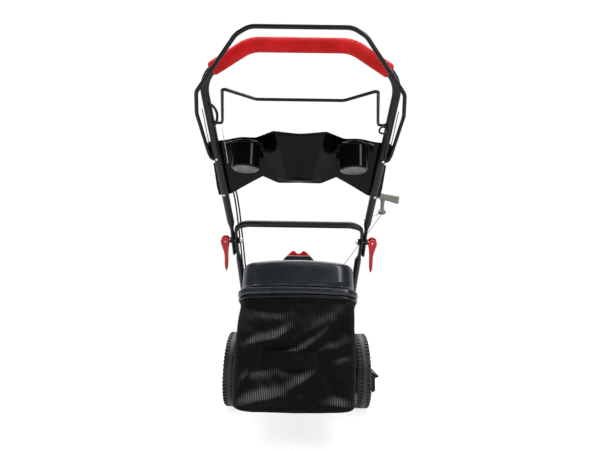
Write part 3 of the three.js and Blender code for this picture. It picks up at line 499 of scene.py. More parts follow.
def build_cables():
    def lane(x):
        return [on_handle(x - 4, 700, -22), on_handle(x, 640, -21), on_handle(x + 1, 590, -20),
                on_handle(x + 2, 480, -20), on_handle(x + 2, 300, -19), on_handle(x + 1, 120, -20)]

    brake = [on_handle(-222, 806, -20), on_handle(-216, 750, -21), *lane(-199), Vector((-196, -34, 312)),
             Vector((-191, 20, 300)), Vector((-182, 80, 288)), Vector((-170, 150, 270)),
                 Vector((-142, 205, 252)),
             Vector((-114.4, 225, 243))]
    drive = [on_handle(-206, 862, -21), on_handle(-207, 800, -21), on_handle(-203, 750, -22), *lane(-190),
             Vector((-189, -24, 296)), Vector((-189, 12, 262)), Vector((-187, 38, 230)),
                 Vector((-186, 45, 200)),
             Vector((-185, 46, 172)), Vector((-150, 48, 128)), Vector((-90, 54, 114)),
                 Vector((-26.4, 58, 112))]
    for name, points in (("brake_cable", brake), ("drive_cable", drive)):
        route = smooth_path(points)
        made = piece(name + "_sleeve", *sweep(route, circle(CABLE_RADIUS, 12)), "cable", None,
            "black_plastic", [name])
        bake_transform(made)


# ------------------------------------------------------------------ console


def build_console():
    """The panel behind the handle: a faceted middle, flat wings and a folded top edge."""
    half = [
        # x, along, out of the top edge; then the same for the crease and for the bottom edge
        ((0, 914.5, 30), (0, 778, 12), (0, 748, -6)),
        ((32, 917, 30), (24, 778, 12), (30, 747, -6)),
        ((66, 920.5, 30), (40, 785, 11), (60, 746, -7)),
        ((76, 917, 25), (49, 787, 8), (68, 748, -7)),
        ((114, 890, -7), (96, 800, -6), (108, 767, -8)),
        ((129, 886, -9), (130, 800, -10), (135, 751, -9)),
        ((166, 885.5, -11), (170, 800, -11), (166, 731, -11)),
        ((205, 877, -12), (204, 800, -12), (206, 705, -12)),
        ((236, 873.5, -12), (236, 812, -12), (226, 699, -12)),
    ]
    columns = [[(-x, along, out) for x, along, out in column] for column in reversed(half[1:])] + half
    verts, faces = [], []
    rows = 7
    for column in columns:
        top, middle, low = (Vector(p) for p in column)
        face = [top.lerp(middle, t) for t in (0, 0.06, 0.5, 1)] + [middle.lerp(low, t) for t in (0.45, 0.85,
            1)]
        face[4] += Vector((0, 0, 5.0 if abs(top.x) < 70 else 1.0))
        verts += [on_handle(*p) for p in face]
        for k, p in enumerate(face):
            tuck = -3.0 if k == 0 else 2.5 if k == rows - 1 else 0.0
            verts.append(on_handle(p.x, p.y + tuck, p.z - 3.0))
    width = 2 * rows
    for c in range(len(columns) - 1):
        a, b = c * width, (c + 1) * width
        for k in range(rows - 1):
            faces.append((a + k, b + k, b + k + 1, a + k + 1))
            faces.append((a + rows + k, a + rows + k + 1, b + rows + k + 1, b + rows + k))
        faces.append((a, a + rows, b + rows, b))
        faces.append((a + rows - 1, b + rows - 1, b + width - 1, a + width - 1))
    for a in (0, (len(columns) - 1) * width):
        for k in range(rows - 1):
            faces.append((a + k, a + k + 1, a + rows + k + 1, a + rows + k))
    body = piece("console_panel", verts, faces, "gloss", "upper_handle", "black_gloss", ["console"], 30)
    # the chamfer underneath is moulded with a grain, and so it mirrors nothing
    body.data.materials.append(PAINTS["panel"].material)
    for polygon in body.data.polygons:
        polygon.material_index = int(polygon.normal.z < -0.86)
    bevelled(body, 2.2, 3, 14)
    lip = [on_handle(x, along - 0.5, out + 0.5) for x, along, out in (column[0] for column in columns)]
    bead = sweep(smooth_path(lip, 3), circle(2.3, 12))
    piece("console_lip", *bead, "gloss", "upper_handle", "black_gloss")

    front = [(-62, 914), (-30, 911), (0, 909.5), (30, 911), (62, 914), (38.5, 790), (36, 783), (31, 779.5),
        (-31, 779.5),
             (-36, 783), (-38.5, 790)]
    rise = 18 / 139
    plate = skin([[on_handle(x, along, 12.3 + (along - 778) * rise + lift) for x,
        along in front] for lift in (-2, 0.8)])
    bevelled(piece("console_face", *plate, "panel", "upper_handle", "black_gloss"), 0.7, 2)

    for side, name in ((-1, "left"), (1, "right")):
        # the strips outside the tubes, with a notch between them
        for label, strip in (("upper", [(230, 816), (257, 816), (261, 845), (261, 866), (252, 873),
            (232, 873)]),
                             ("lower", [(226, 702), (247, 698), (250, 730), (251, 806), (230, 806)])):
            outline = [(side * x, along) for x, along in strip]
            ends = piece(f"console_{label}_strip_{name}", *prism(outline, on_handle, -15.5, -11.5), "gloss",
                         "upper_handle", "black_gloss")
            bevelled(ends, 1.2, 2)
        cx, cy = side * 147.5, -618
        outer, wall, low, top, fillet = 38.0, 3.0, 768.5, 836, 4
        rounds = [(outer - fillet + fillet * math.sin(a), low + fillet - fillet * math.cos(a))
                  for a in (math.radians(d) for d in (0, 18, 36, 54, 72, 90))]
        profile = [*rounds, (outer, top - 6), (outer + 1.5, top - 2), (outer + 6, top),
            (outer + 5, top + 2.4),
                   (outer - wall + 1, top + 2.4), (outer - wall, top), (outer - wall, low + 6),
                   (outer - wall - 3, low + 3)]
        cup = lathe([(0.01, low), *profile, (0.01, low + 3)], 56, (cx, cy, 0))
        piece(f"cup_{name}", *cup, "gloss", "upper_handle", "black_gloss", sharp=40)
        disc = lathe([(0.01, low - 0.5), (outer - 4.6, low - 0.5), (outer - 4, low + 0.4),
            (0.01, low + 0.4)], 48,
                     (cx, cy, 0))
        piece(f"cup_floor_{name}", *disc, "cup_floor", "upper_handle", "black_gloss")
        shelf = [(side * x, y) for x, y in [(96, -592), (100, -640), (114, -658), (180, -658), (200, -640),
            (206, -590)]]
        ledge = skin([[Vector((x, y, z)) for x, y in shelf] for z in (831, 834.5)])
        bevelled(piece(f"cup_shelf_{name}", *ledge, "gloss", "upper_handle", "black_gloss"), 1.5, 2)
        for along in (829, 712):
            head = lathe([(0.01, 10.4), (4.4, 10.4), (4.4, 12.0), (3.2, 13.6), (0.01, 14)], 18,
                         on_handle(side * tube_half(along), along), OUT_HANDLE)
            piece(f"console_screw_{along}_{name}", *head, "steel", "upper_handle", "bare_steel", sharp=40)


# ------------------------------------------------------------------ cam levers and bolts


def build_joints():
    for side, name in ((-1, "left"), (1, "right")):
        place = lambda x, up, out, s=side: on_handle(s * (240 + x), 534 + up, out)
        outline = [(-11, 8), (-7, 12), (-2, 13.8), (4, 13.4), (9.4, 10.4), (13.6, 6.5), (16, 0),
            (15.5, -10), (13, -26),
                   (10.5, -42), (10, -60), (12, -84), (13.5, -100), (14, -116), (11, -126), (8, -130),
                       (5, -120),
                   (2, -100), (0, -80), (-2, -58), (-5, -38), (-8.5, -22), (-11.5, -12), (-12.2, -4),
                       (-12.2, 5)]
        for label, low, high in (("front", -9.0, -4.7), ("back", 4.7, 9.0)):
            cheek = [p for p in outline if p[1] > -60]
            made = piece(f"cam_cheek_{label}_{name}", *prism(cheek, place, low, high), "red",
                         f"cam_lever_{name}", "red_plastic")
            bevelled(made, 1.2, 3)
        tail = [p for p in outline if p[1] < -8]
        made = piece(f"cam_handle_{name}", *prism(tail, place, -8.6, 8.6), "red", f"cam_lever_{name}",
                     "red_plastic", [f"cam_lever_{name}"])
        bevelled(made, 2.2, 3)
        pin = lathe([(0.01, -9.4), (2.8, -9.4), (2.8, 9.4), (0.01, 9.4)], 16, place(0, 0, 0), OUT_HANDLE)
        piece(f"cam_pin_{name}", *pin, "steel", "chassis", "bare_steel")
        axis = Vector((side, 0, 0))
        washer = lathe([(3.9, 0), (10.5, 0), (10.5, 2.4), (8.5, 3.4), (3.9, 3.4)], 24,
            on_handle(side * 222.3, 534), axis)
        piece(f"cam_washer_{name}", *washer, "plastic", "chassis", "black_plastic")
        knob = lathe([(3.9, 0), (8.5, 0), (11, 2), (11, 6.2), (3.9, 6.2)], 24, on_handle(side * 192.4, 534),
            axis)
        piece(f"joint_knob_{name}", *knob, "plastic", "chassis", "black_plastic")
        nut = lathe([(0.01, 0), (7.6, 0), (7.6, 6.2), (0.01, 6.2)], 6, on_handle(side * 185.6, 534), axis)
        bevelled(piece(f"joint_nut_{name}", *nut, "steel", "chassis", "bare_steel"), 0.6, 2)


# ------------------------------------------------------------------ starter pull


def build_starter():
    pull_angle = math.radians(64) - SLOPE
    pull = (UP_HANDLE * math.cos(pull_angle) - OUT_HANDLE * math.sin(pull_angle)).normalized()
    eye = on_handle(263, 633, -24)
    tilt = math.radians(14)
    wing = Vector((math.cos(tilt), 0, 0)) - (UP_HANDLE * 0.9).normalized() * math.sin(tilt)
    wing.normalize()
    top = eye + pull * 54

    def grip_section(t):
        tall = 9.5 + 3.5 * t ** 2
        wide = 8.5 + 1.0 * t
        return [(wide * math.copysign(abs(math.cos(a)) ** 0.55, math.cos(a)),
                 tall * math.copysign(abs(math.sin(a)) ** 0.55, math.sin(a)))
                for a in (2 * math.pi * k / 28 for k in range(28))]

    bar_path = [top + wing * (-28 + 78 * k / 10) for k in range(11)]
    made = piece("starter_handle", *sweep(bar_path, grip_section, wing.cross(pull)), "khaki",
        "starter_grip",
                 "grey_plastic", ["starter_grip"], 45)
    bevelled(made, 2.0, 3, 50)
    stem = lathe([(0.01, 3.6), (13.5, 3.6), (14, 6), (11, 8.5), (7, 11), (6, 16), (6.2, 34), (8.5, 46),
        (0.01, 48)], 28,
                 eye, pull)
    piece("starter_stem", *stem, "khaki", "starter_grip", "grey_plastic", sharp=50)
    cap = skin([[top + wing * z + wing.cross(pull) * a + pull * b for a, b in
                 [(7.6 * math.copysign(abs(math.cos(q)) ** 0.55, math.cos(q)),
                   11 * math.copysign(abs(math.sin(q)) ** 0.55, math.sin(q)))
                  for q in (2 * math.pi * k / 28 for k in range(28))]] for z in (46, 51.2)])
    bevelled(piece("starter_end_cap", *cap, "plastic", "starter_grip", "black_plastic"), 0.8, 2)

    ring = [eye + pull * -0.5 + (pull.orthogonal().normalized() * math.cos(a)
                                 + pull.cross(pull.orthogonal().normalized()) * math.sin(a)) * 8.5
            for a in (2 * math.pi * k / 28 for k in range(28))]
    piece("rope_eye", *sweep(ring, circle(2.7, 12), closed=True), "khaki", "upper_handle", "grey_plastic",
          ["rope_guide"])
    arm = round_path([on_handle(219, 625, -9), on_handle(232, 627, -17), on_handle(246, 630, -20),
                      on_handle(255, 632, -23)], [6, 8])
    piece("rope_eye_arm", *sweep(arm, circle(3.0, 12)), "steel", "upper_handle", "bare_steel")
    nut = lathe([(0.01, 0), (5.5, 0), (5.5, 4), (3, 6.5), (0.01, 6.5)], 6, on_handle(210, 625),
        Vector((-1, 0, 0)))
    piece("rope_guide_nut", *nut, "steel", "upper_handle", "bare_steel")

    low = Vector((31.5, 218, 350))
    start = eye - pull * 4.4
    line = [low, low.lerp(start, 0.25) + Vector((0, 0, -5)), low.lerp(start, 0.5) + Vector((0, 0, -7)),
            low.lerp(start, 0.75) + Vector((0, 0, -5)), start]
    route = smooth_path(line)
    made = piece("starter_line", *sweep(route, circle(LINE_RADIUS, 10)), "line", None, "cord_fibre",
        ["starter_rope"])
    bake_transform(made)
    # the stretch that runs out through the eye when the grip is pulled; at rest it is inside the stem
    route = [eye + pull * (-3.5 + 1.25 * k) for k in range(21)]
    made = piece("starter_line_end", *sweep(route, circle(LINE_RADIUS, 10)), "line", None, "cord_fibre")
    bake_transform(made)


# ------------------------------------------------------------------ grass bag

RIM_SLOPE = math.tan(math.radians(15))


# The rear of the lid and rim at their corners, and how far the middle bows out behind them.
REAR, BOW = -451.0, 24.0


def rim_z(y):
    return 447 - (y + 475) * RIM_SLOPE


BACK_SPANS = 16


def plan_loop(half, back, front, corner, front_corner=4.0, arc=8):
    """A rounded rectangle seen from above, anticlockwise from the front right."""
    loop = []
    for cx, cy, start, radius in ((half - front_corner, front - front_corner, 0, front_corner),
                                  (front_corner - half, front - front_corner, 90, front_corner),
                                  (corner - half, back + corner, 180, corner),
                                  (half - corner, back + corner, 270, corner)):
        steps = arc if radius > 5 else 2
        loop += [(cx + radius * math.cos(math.radians(start + 90 * k / steps)),
                  cy + radius * math.sin(math.radians(start + 90 * k / steps))) for k in range(steps + 1)]
        if start == 180:
            # points along the back edge let it bow
            loop += [(cx - 2 * cx * k / BACK_SPANS, back) for k in range(1, BACK_SPANS)]
    return loop


def bow(x, half, depth):
    """The back edges bow out a little in the middle."""
    return -depth * max(0.0, 1 - (x / half) ** 2)


def roof(y):
    """The lid's top seen from the side."""
    points = [(-470, 539.5), (-318, 532), (-152, 388), (-62, 340)]
    for (y0, z0), (y1, z1) in zip(points, points[1:]):
        if y <= y1:
            t = max(0.0, (y - y0) / (y1 - y0))
            return z0 + (z1 - z0) * t
    return points[-1][1]


def build_lid():
    rings = []
    fillet = 20.0

    def ring(inset, level):
        outline = plan_loop(175 - inset, REAR + inset, -93 - min(inset, 60), max(58 - inset, 8), arc=12)
        out = []
        for x, y in outline:
            y += bow(x, 173, BOW) if y < -380 else 0.0
            foot = rim_z(y) + 13.5
            top = roof(y) - 11.0 * (x / 173) ** 2
            out.append(Vector((x, y, level(foot, top))))
        return out

    # the flared foot, the wall, the fillet and the roof
    rings.append(ring(-4.0, lambda foot, top: foot))
    rings.append(ring(-4.0, lambda foot, top: foot + min(3.0, (top - foot) * 0.3)))
    rings.append(ring(-1.0, lambda foot, top: foot + min(6.0, (top - foot) * 0.4)))
    rings.append(ring(0.0, lambda foot, top: foot + min(11.0, (top - foot) * 0.5)))
    for share in (0.25, 0.5, 0.75):
        rings.append(ring(2.0 * share, lambda foot, top, s=share: foot + min(11.0, (top - foot) * 0.5)
                          + (top - fillet - foot - min(11.0, (top - foot) * 0.5)) * s
                          if top - foot > fillet + 15 else foot + (top - foot) * (0.5 + 0.3 * s)))
    for k in range(1, 7):
        angle = math.radians(15 * k)
        rings.append(ring(2.0 + fillet * (1 - math.cos(angle)),
                          lambda foot, top, a=angle: max(top - fillet * (1 - math.sin(a)),
                              foot + (top - foot) * 0.8)))
    for inset in (30, 70, 120, 165):
        rings.append(ring(inset, lambda foot, top: top))
    made = piece("bag_lid_shell", *skin(rings, caps=False), "slate", "grass_bag", "slate_plastic",
        ["bag_lid"], 40)
    hole = bmesh.new()
    hole.from_mesh(made.data)
    edges = [e for e in hole.edges if e.is_boundary]
    top_edges = [e for e in edges if max(abs(v.co.x - OFFSET.x * MM) for v in e.verts) < 0.02]
    bmesh.ops.holes_fill(hole, edges=top_edges, sides=0)
    hole.to_mesh(made.data)
    hole.free()
    add_modifier(made, "SOLIDIFY", "wall", thickness=3 * MM, offset=-1.0)

    # the raised seat of the carrying handle and its red insert
    def hump(x, z, y):
        return Vector((x, y, z))

    seat = [(-58, 527), (58, 527), (44, 548), (36, 556), (-36, 556), (-44, 548)]
    made = piece("lid_hump", *prism(seat, hump, -418, -342), "slate", "grass_bag", "slate_plastic")
    bevelled(made, 4, 3)
    crest = [(-37, 556.3), (37, 556.3), (28, 565), (20, 571.5), (15, 572.5), (11, 570), (6, 565),
        (0, 563.5), (-6, 565),
             (-11, 570), (-15, 572.5), (-20, 571.5), (-28, 565)]
    made = piece("lid_carry_insert", *prism(crest, hump, -402, -358), "red", "grass_bag", "red_plastic",
                 ["lid_handle"])
    bevelled(made, 1.6, 3)
    # moulded tabs low on the rear wall
    for k, (x0, x1) in enumerate(((-108, -57), (-29, 31), (57, 139))):
        y = REAR + bow((x0 + x1) / 2, 173, BOW)
        tab = [(x0, 464), (x1, 464), (x1 - 5, 474), (x0 + 5, 474)]
        made = piece(f"lid_tab_{k}", *prism(tab, hump, y - 2.6, y + 4), "slate", "grass_bag",
            "slate_plastic")
        bevelled(made, 0.7, 2)


def build_rim():
    def band(name, half, back, section, paint, replaces=()):
        loop = plan_loop(half, back, -93, 42, arc=12)
        bowed = [(x, y + (bow(x, half, BOW) if y < -380 else 0.0)) for x, y in loop]
        path = [Vector((x, y, rim_z(y))) for x, y in bowed]
        rings = []
        count = len(path)
        for k, here in enumerate(path):
            along = (path[(k + 1) % count] - path[k - 1]).normalized()
            outward = along.cross(Vector((0, 0, 1))).normalized()
            rings.append([here + outward * a + Vector((0, 0, b)) for a, b in section])
        return piece(name, *skin(rings, closed=True), paint, "grass_bag", "slate_plastic", replaces, 40)

    def rounded_box(a0, a1, b0, b1, radius):
        out = []
        for ca, cb, start in ((a1 - radius, b1 - radius, 0), (a0 + radius, b1 - radius, 90),
                              (a0 + radius, b0 + radius, 180), (a1 - radius, b0 + radius, 270)):
            out += [(ca + radius * math.cos(math.radians(start + 30 * k)),
                     cb + radius * math.sin(math.radians(start + 30 * k))) for k in range(4)]
        return out

    band("rim_upper_lip", 177, REAR, rounded_box(-5, 8, -9.0, 12.0, 6.0), "slate", ["bag_rim"])
    # the lower lip takes the darker slate copy, painted shade under the upper lip
    band("rim_lower_lip", 177, REAR, rounded_box(-5, 6.5, -20.5, -10.5, 4.0), "rim")
    band("rim_band", 174, REAR, rounded_box(-4, 2.0, -34, -18, 1.8), "web")
    for side, name in ((-1, "left"), (1, "right")):
        x0, x1 = sorted((side * 167, side * 173))
        hook = [(-98, 340), (-90, 340), (-90, 372.6), (-73, 372.6), (-73, 379), (-98, 379)]
        made = piece(f"rim_hook_{name}", *prism(hook, lambda y, z, x: Vector((x, y, z)), x0, x1), "plastic",
                     "grass_bag", "slate_plastic")
        bevelled(made, 1.0, 2)


# Fold lines on the back of the bag as (x, z) runs, with how far each stands out and how wide it is, in
# millimetres.
FOLDS = [
    ([(-186, 112), (-141, 128), (-93, 142), (-54, 150), (0, 146)], 18.0, 21.0),
    ([(-30, 170), (0, 182), (30, 200), (60, 226)], 11.0, 15.0),
    ([(-158, 280), (-108, 300), (-57, 312), (-20, 338)], 12.0, 15.0),
    ([(-30, 272), (46, 313), (91, 349), (143, 410)], 11.0, 22.0),
    ([(40, 262), (88, 280), (123, 284), (158, 300)], 6.0, 18.0),
    ([(85, 128), (123, 126), (168, 116)], 9.0, 16.0),
    ([(-183, 140), (-160, 178), (-134, 228)], 6.0, 10.0),
    ([(-70, 262), (0, 290), (52, 322), (92, 352)], -10.0, 13.0),
    ([(-160, 210), (-110, 222), (-60, 232), (-10, 222)], -8.0, 16.0),
    ([(70, 232), (92, 200), (104, 170), (106, 128)], -7.0, 18.0),
    ([(-160, 400), (-110, 388), (-60, 384), (-20, 396)], -8.0, 15.0),
    ([(100, 250), (130, 262), (165, 266)], -6.0, 13.0),
]


def near_run(x, z, run):
    """Distance to a run of points, and how far along it the nearest point lies (0 to 1)."""
    best, place = 1e9, 0.0
    for k, ((x0, z0), (x1, z1)) in enumerate(zip(run, run[1:])):
        dx, dz = x1 - x0, z1 - z0
        t = max(0.0, min(1.0, ((x - x0) * dx + (z - z0) * dz) / (dx * dx + dz * dz)))
        distance = math.hypot(x - x0 - dx * t, z - z0 - dz * t)
        if distance < best:
            best, place = distance, (k + t) / (len(run) - 1)
    return best, place


def fold_height(x, z):
    height = 0.0
    for run, depth, width in FOLDS:
        distance, place = near_run(x, z, run)
        height += depth * math.exp(-(distance / width) ** 2) * (0.35 + 0.65 * math.sin(math.pi * min(1,
            max(0, place))))
    drift = noise.noise(Vector((x * 0.012, z * 0.014, 4.1)))
    fine = noise.noise(Vector((x * 0.035 + z * 0.02, z * 0.03, 9.7)))
    return height + 4.0 * drift + 1.6 * fine


# How tight the cloth turns under at the bottom.
ROLL = 12.0


def build_bag():
    """Sides, back and floor in one sagging skin; u runs round the bag and v down it."""
    corner, front, back, half = 24.0, -93.0, REAR, 171.0
    floor_z = 104.0

    def track(inset, steps=(34, 10, 84)):
        side, arc, rear = steps
        radius = max(corner - inset * 0.4, 3.0)
        hw, bk = half - inset, back + inset
        run = [(-hw, front + (bk + radius - front) * k / side) for k in range(side)]
        run += [(-hw + radius - radius * math.cos(a), bk + radius - radius * math.sin(a))
                for a in (math.pi / 2 * k / arc for k in range(arc))]
        run += [(-hw + radius + (2 * hw - 2 * radius) * k / rear, bk) for k in range(rear + 1)]
        left = run[:side + arc]
        return run + [(-x, y) for x, y in reversed(left)]

    rows = []
    base = track(0.0)
    length = [0.0]
    for (x0, y0), (x1, y1) in zip(base, base[1:]):
        length.append(length[-1] + math.hypot(x1 - x0, y1 - y0))
    tall = 72
    for r in range(tall + 1):
        t = r / tall
        row_points = []
        for k, (x, y) in enumerate(base):
            top = rim_z(y + bow(x, half, BOW)) - 24.0
            low = floor_z + ROLL + max(0.0, (y + 430) * 0.07)
            z = top + (low - top) * t
            sag = math.sin(math.pi * min(1.0, t * 1.05)) ** 0.8
            spread = 1.0 + (0.045 * sag + 0.075 * t ** 1.1 if x < 0 else 0.012 * sag)
            px, py = x * spread, y
            if y <= back + corner:
                amount = max(0.0, min(1.0, (half - abs(x)) / 40.0)) if abs(x) < half else 0.0
                edge = min(1.0, 3.0 * t + 0.12)
                py = y - fold_height(px, z) * (0.25 + 0.75 * amount) * edge - 4.0 * sag + bow(x, half,
                    BOW) * (1 - 0.25 * t)
                px += 2.5 * noise.noise(Vector((z * 0.03, 3.3, x * 0.01))) * (1 - amount)
            else:
                wobble = 3.5 * noise.noise(Vector((y * 0.016, z * 0.016, math.copysign(7, x))))
                calm = min(1.0, (front - y) / 60.0) * min(1.0, 3 * t + 0.1)
                px += math.copysign(1, x) * (wobble - 2.0) * calm
                px = math.copysign(min(abs(px), 176.0 if x > 0 else 193.0), px)
            row_points.append(Vector((px, py, z)))
        rows.append(row_points)
    # the floor: the skin rolls under and closes along the middle
    for k in range(1, 19):
        if k <= 8:
            angle = math.pi / 2 * k / 8
            inset, drop = ROLL * (1 - math.cos(angle)), ROLL * math.sin(angle)
        else:
            inset, drop = ROLL + (half - ROLL - 0.5) * (k - 8) / 10, ROLL
        shifted = track(inset)
        last = rows[tall]
        row_points = []
        for j, (x, y) in enumerate(shifted):
            lift = max(0.0, (y + 430) * 0.07)
            belly = -4.0 * max(0.0, 1 - (x / half) ** 2) + 5.0
            share = max(0.0, 1 - inset / 60.0)
            shift = (last[j] - Vector((base[j][0], base[j][1], last[j].z))) * share
            row_points.append(Vector((x + shift.x, y + shift.y, floor_z + ROLL + lift - drop + belly)))
        rows.append(row_points)

    verts = [p for r in rows for p in r]
    n = len(base)
    faces = [(r * n + k, r * n + k + 1, (r + 1) * n + k + 1, (r + 1) * n + k)
             for r in range(len(rows) - 1) for k in range(n - 1)]
    mesh = bpy.data.meshes.new("grass_bag_skin")
    mesh.from_pydata([row(v) for v in verts], [], faces)
    layer = mesh.uv_layers.new(name="weave")
    down = [k / (len(rows) - 1) for k in range(len(rows))]
    for loop in mesh.loops:
        r, k = divmod(loop.vertex_index, n)
        layer.data[loop.index].uv = (length[k] * MM, 0.5 * down[r])
    work = bmesh.new()
    work.from_mesh(mesh)
    bmesh.ops.remove_doubles(work, verts=work.verts, dist=1.2e-3)
    bmesh.ops.recalc_face_normals(work, faces=work.faces)
    work.to_mesh(mesh)
    work.free()
    mesh.shade_smooth()
    mesh.materials.append(PAINTS["mesh"].material)
    made = bpy.data.objects.new("grass_bag_skin", mesh)
    bpy.context.scene.collection.objects.link(made)
    add_modifier(made, "SOLIDIFY", "cloth", thickness=1.6 * MM, offset=-1.0)
    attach(made, "grass_bag")
    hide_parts("bag_fabric")

    # the web strap: a flat loop sewn at both ends, standing off the cloth
    path = []
    for k in range(25):
        t = k / 24
        x = -95 + 156 * t
        lift = 9.0 * math.sin(math.pi * t) ** 0.6
        path.append((x, REAR + bow(x, half, BOW) * 0.88 - max(2.0, fold_height(x, 254)) - 6.0 - lift))
    rings = []
    for x, y in path:
        rings.append([Vector((x, y, 230)), Vector((x, y, 278)), Vector((x, y + 1.6, 278)),
            Vector((x, y + 1.6, 230))])
    made = piece("bag_web_strap", *skin(rings), "web", "grass_bag", "bag_mesh", ["bag_strap"])


# ------------------------------------------------------------------ tyres and rims


def build_wheel(name, side, y, radius, width, inner, rim_radius, lugs):
    centre = Vector((side * (inner + width / 2), y, radius))
    w = width / 2
    body = f"{name}_wheel"
    profile = [(rim_radius + 1, -w + 4), (rim_radius + 6, -w + 1), (rim_radius + 16, -w),
        (radius - 12, -w + 0.5),
               (radius - 6, -w + 2), (radius - 4.5, -w + 5), (radius - 5.5, -9.5), (radius - 0.9, -8.5),
               (radius - 0.2, -6), (radius, 0)]
    profile += [(r, -x) for r, x in reversed(profile[:-1])]
    profile = [(r, x) for r, x in profile]
    rings = []
    sides = lugs * 2
    for k in range(sides):
        a = 2 * math.pi * k / sides
        rings.append([centre + Vector((x, r * math.cos(a), r * math.sin(a))) for r, x in profile])
    verts, faces = skin(rings, closed=True)
    parts = [(verts, faces)]
    lug_half = 0.27 * 2 * math.pi / lugs
    for k in range(lugs):
        for face_side in (-1, 1):
            a = 2 * math.pi * (k + (0.25 if face_side > 0 else -0.25)) / lugs
            block = []
            for r, x0, x1 in ((radius - 6.4, 9.0, w - 1.2), (radius - 0.2, 9.8, w - 4.6)):
                corner = []
                for x, turn in ((x0, -1), (x0, 1), (x1, 1), (x1, -1)):
                    b = a + turn * lug_half * (1.0 if r < radius - 2 else 0.86)
                    corner.append(centre + Vector((face_side * x, r * math.cos(b), r * math.sin(b))))
                block.append(corner)
            parts.append(skin(block))
            # the lug's root on the sidewall
            low, high = radius - 17.0, radius - 4.0
            block = []
            for x in (w - 3.0, w + 0.0):
                corner = []
                for r, turn in ((low + 5, -0.8), (low + 5, 0.8), (high, 1), (high, -1)):
                    b = a + turn * lug_half * 0.9
                    corner.append(centre + Vector((face_side * x, r * math.cos(b), r * math.sin(b))))
                block.append(corner)
            parts.append(skin(block))
    piece(f"{name}_tread", *merge(*parts), "tyre", body, "tyre_rubber", [f"{name}_tyre"], 38)

    seat = rim_radius
    dish = [(9, -w + 3), (19, -w + 3), (21, -8), (seat - 16, -7), (seat - 8, -w + 7), (seat - 2, -w + 4),
            (seat + 0.6, -w + 5), (seat + 0.6, w - 5), (seat - 2, w - 4), (seat - 8, w - 7),
                (seat - 14, -3),
            (30, -1), (24, w - 7), (20, w - 5), (9, w - 5)]
    rings = []
    for k in range(72):
        a = 2 * math.pi * k / 72
        rings.append([centre + Vector((side * x, r * math.cos(a), r * math.sin(a))) for r, x in dish])
    parts = [skin(rings, closed=True)]
    for k in range(10):
        a = 2 * math.pi * k / 10
        out, along = Vector((0, math.cos(a), math.sin(a))), Vector((0, -math.sin(a), math.cos(a)))
        spoke = [[centre + Vector((side * x, 0, 0)) + out * r + along * t
                  for r, x, t in ((24, -4, -h), (24, -4, h), (24, w - 9, h * 0.7), (24, w - 9, -h * 0.7))]
                 if r0 == 0 else
                 [centre + Vector((side * x, 0, 0)) + out * (seat - 9) + along * t
                  for x, t in ((-5, -h * 0.8), (-5, h * 0.8), (6, h * 0.55), (6, -h * 0.55))]
                 for r0, h in ((0, 5.5), (1, 4.0))]
        parts.append(skin(spoke))
    piece(f"{name}_hub", *merge(*parts), "plastic", body, "black_plastic", [f"{name}_rim"], 32)
    cap = lathe([(0.01, w - 5), (15, w - 5), (15, w - 2), (11, w), (0.01, w + 0.5)], 32, centre,
        Vector((side, 0, 0)))
    piece(f"{name}_hub_cap", *cap, "plastic", body, "black_plastic")


def build_wheels():
    for side, name in ((-1, "left"), (1, "right")):
        build_wheel(f"rear_{name}", side, 0, 140, 50, 225, 98, 58)
        build_wheel(f"front_{name}", side, 600, 100, 45, 224, 68, 48)


# ------------------------------------------------------------------ surroundings

for node in NODES.values():
    node.data.materials.clear()

CAD_PAINT = {
    "deck": "deck_shell",
    "steel": "rear_axle front_axle crankshaft blade blade_bolt crank_pulley gearbox_pulley muffler muffler_guard door_rod "
             "flap_rod height_quadrant cam_bolt_left cam_bolt_right rope_guide",
    "alloy": "gearbox blade_adapter flywheel engine_block carburettor",
    "red": "blower_housing fuel_cap dipstick cam_lever_left cam_lever_right lid_handle",
    "grip": "grip",
    "gloss": "console",
    "tube": "lower_handle upper_handle brake_bail drive_lever handle_bracket_left handle_bracket_right",
    "slate": "bag_rim bag_lid",
    "mesh": "bag_fabric",
    "web": "bag_strap",
    "khaki": "starter_grip",
    "line": "starter_rope",
    "belt": "drive_belt",
    "tyre": "rear_left_tyre rear_right_tyre front_left_tyre front_right_tyre trail_shield",
    "plastic": "rear_left_rim rear_right_rim front_left_rim front_right_rim recoil_cover fuel_tank air_filter_cover "
               "spark_plug rear_door side_flap height_lever brake_cable drive_cable",
}


def paint_frame():
    for paint, names in CAD_PAINT.items():
        for name in names.split():
            NODES[name].data.materials.append(PAINTS[paint].material)


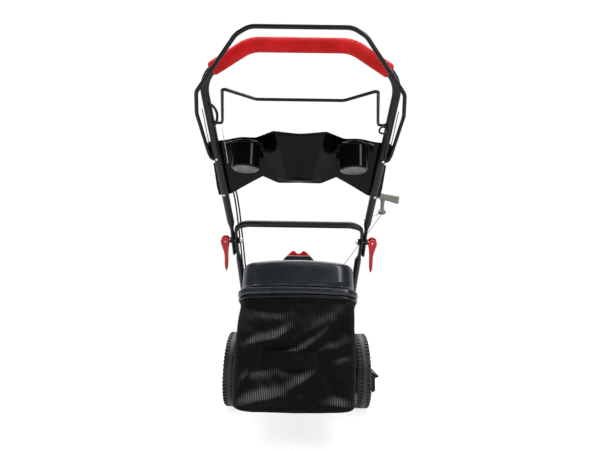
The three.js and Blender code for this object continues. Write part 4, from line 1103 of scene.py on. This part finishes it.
def build_studio():
    camera = bpy.data.objects.new("camera", bpy.data.cameras.new("camera"))
    bpy.context.scene.collection.objects.link(camera)
    camera.data.lens = 22.743
    camera.data.sensor_width = 36.0
    camera.data.clip_start, camera.data.clip_end = 0.01, 100.0
    yaw, pitch, roll = 0.003, -0.17872, 0.0157
    ahead = Vector((-math.sin(yaw) * math.cos(pitch), math.cos(yaw) * math.cos(pitch), -math.sin(pitch)))
    right = Vector((math.cos(yaw), math.sin(yaw), 0.0))
    down = ahead.cross(right)
    turned_right = right * math.cos(roll) - down * math.sin(roll)
    turned_down = right * math.sin(roll) + down * math.cos(roll)
    basis = Matrix((turned_right, -turned_down, -ahead)).transposed().to_4x4()
    camera.matrix_world = Matrix.Translation(row((6.67, -1605.0, 438.6))) @ basis
    bpy.context.scene.camera = camera

    rim = [(2.9 * math.cos(2 * math.pi * k / 96), 2.9 * math.sin(2 * math.pi * k / 96),
        -0.0005) for k in range(96)]
    floor_mesh = bpy.data.meshes.new("floor")
    floor_mesh.from_pydata(rim, [], [tuple(range(96))])
    floor = bpy.data.objects.new("floor", floor_mesh)
    bpy.context.scene.collection.objects.link(floor)
    pale = plain("pale_floor", (0.26, 0.26, 0.26), (0.28, 0.28, 0.28), 0.9, 40, 0.00001, specular=0.0)
    pale.set("Emission Color", (1.0, 1.0, 1.0, 1.0))
    pale.set("Emission Strength", 0.8)
    floor.data.materials.append(pale.material)

    world = bpy.data.worlds.new("studio")
    world.use_nodes = True
    tree = world.node_tree
    background = tree.nodes["Background"]
    background.inputs["Color"].default_value = (1.0, 1.0, 1.0, 1.0)
    split = tree.nodes.new("ShaderNodeSeparateXYZ")
    tree.links.new(tree.nodes.new("ShaderNodeTexCoord").outputs["Generated"], split.inputs["Vector"])
    # a bright cyclorama behind the mower, and a dim room in front of it
    fade = tree.nodes.new("ShaderNodeMapRange")
    fade.interpolation_type = "SMOOTHSTEP"
    fade.inputs["From Min"].default_value = 0.22
    fade.inputs["From Max"].default_value = 0.56
    fade.inputs["To Min"].default_value = 0.1
    fade.inputs["To Max"].default_value = 1.02
    tree.links.new(split.outputs["Y"], fade.inputs["Value"])
    tree.links.new(fade.outputs["Result"], background.inputs["Strength"])
    bpy.context.scene.world = world
    bpy.context.scene.view_settings.view_transform = "Standard"

    def softbox(name, place, target, size, power, mirrored=True):
        light = bpy.data.objects.new(name, bpy.data.lights.new(name, "AREA"))
        light.data.shape = "RECTANGLE"
        light.data.size, light.data.size_y = size
        light.data.energy = power
        light.location = place
        light.visible_glossy = mirrored
        light.rotation_mode = "QUATERNION"
        light.rotation_quaternion = (Vector(target) - Vector(place)).to_track_quat("-Z", "Y")
        bpy.context.scene.collection.objects.link(light)

    softbox("key_left", (-2.0, -1.1, 1.5), (0, -0.3, 0.6), (0.3, 2.2), 48, mirrored=False)
    softbox("fill_right", (1.7, -1.9, 1.4), (0, -0.3, 0.6), (0.55, 2.0), 44)
    softbox("front_high", (0.4, -3.0, 3.0), (0, -0.3, 0.5), (2.2, 0.9), 30)
    softbox("overhead", (0.0, 0.9, 4.0), (0, 0.6, 0.0), (5.5, 5.5), 470)


build_studio()
paint_frame()
build_handle()
build_handle_fittings()
build_cables()
build_console()
build_joints()
build_starter()
build_lid()
build_rim()
build_bag()
build_wheels()
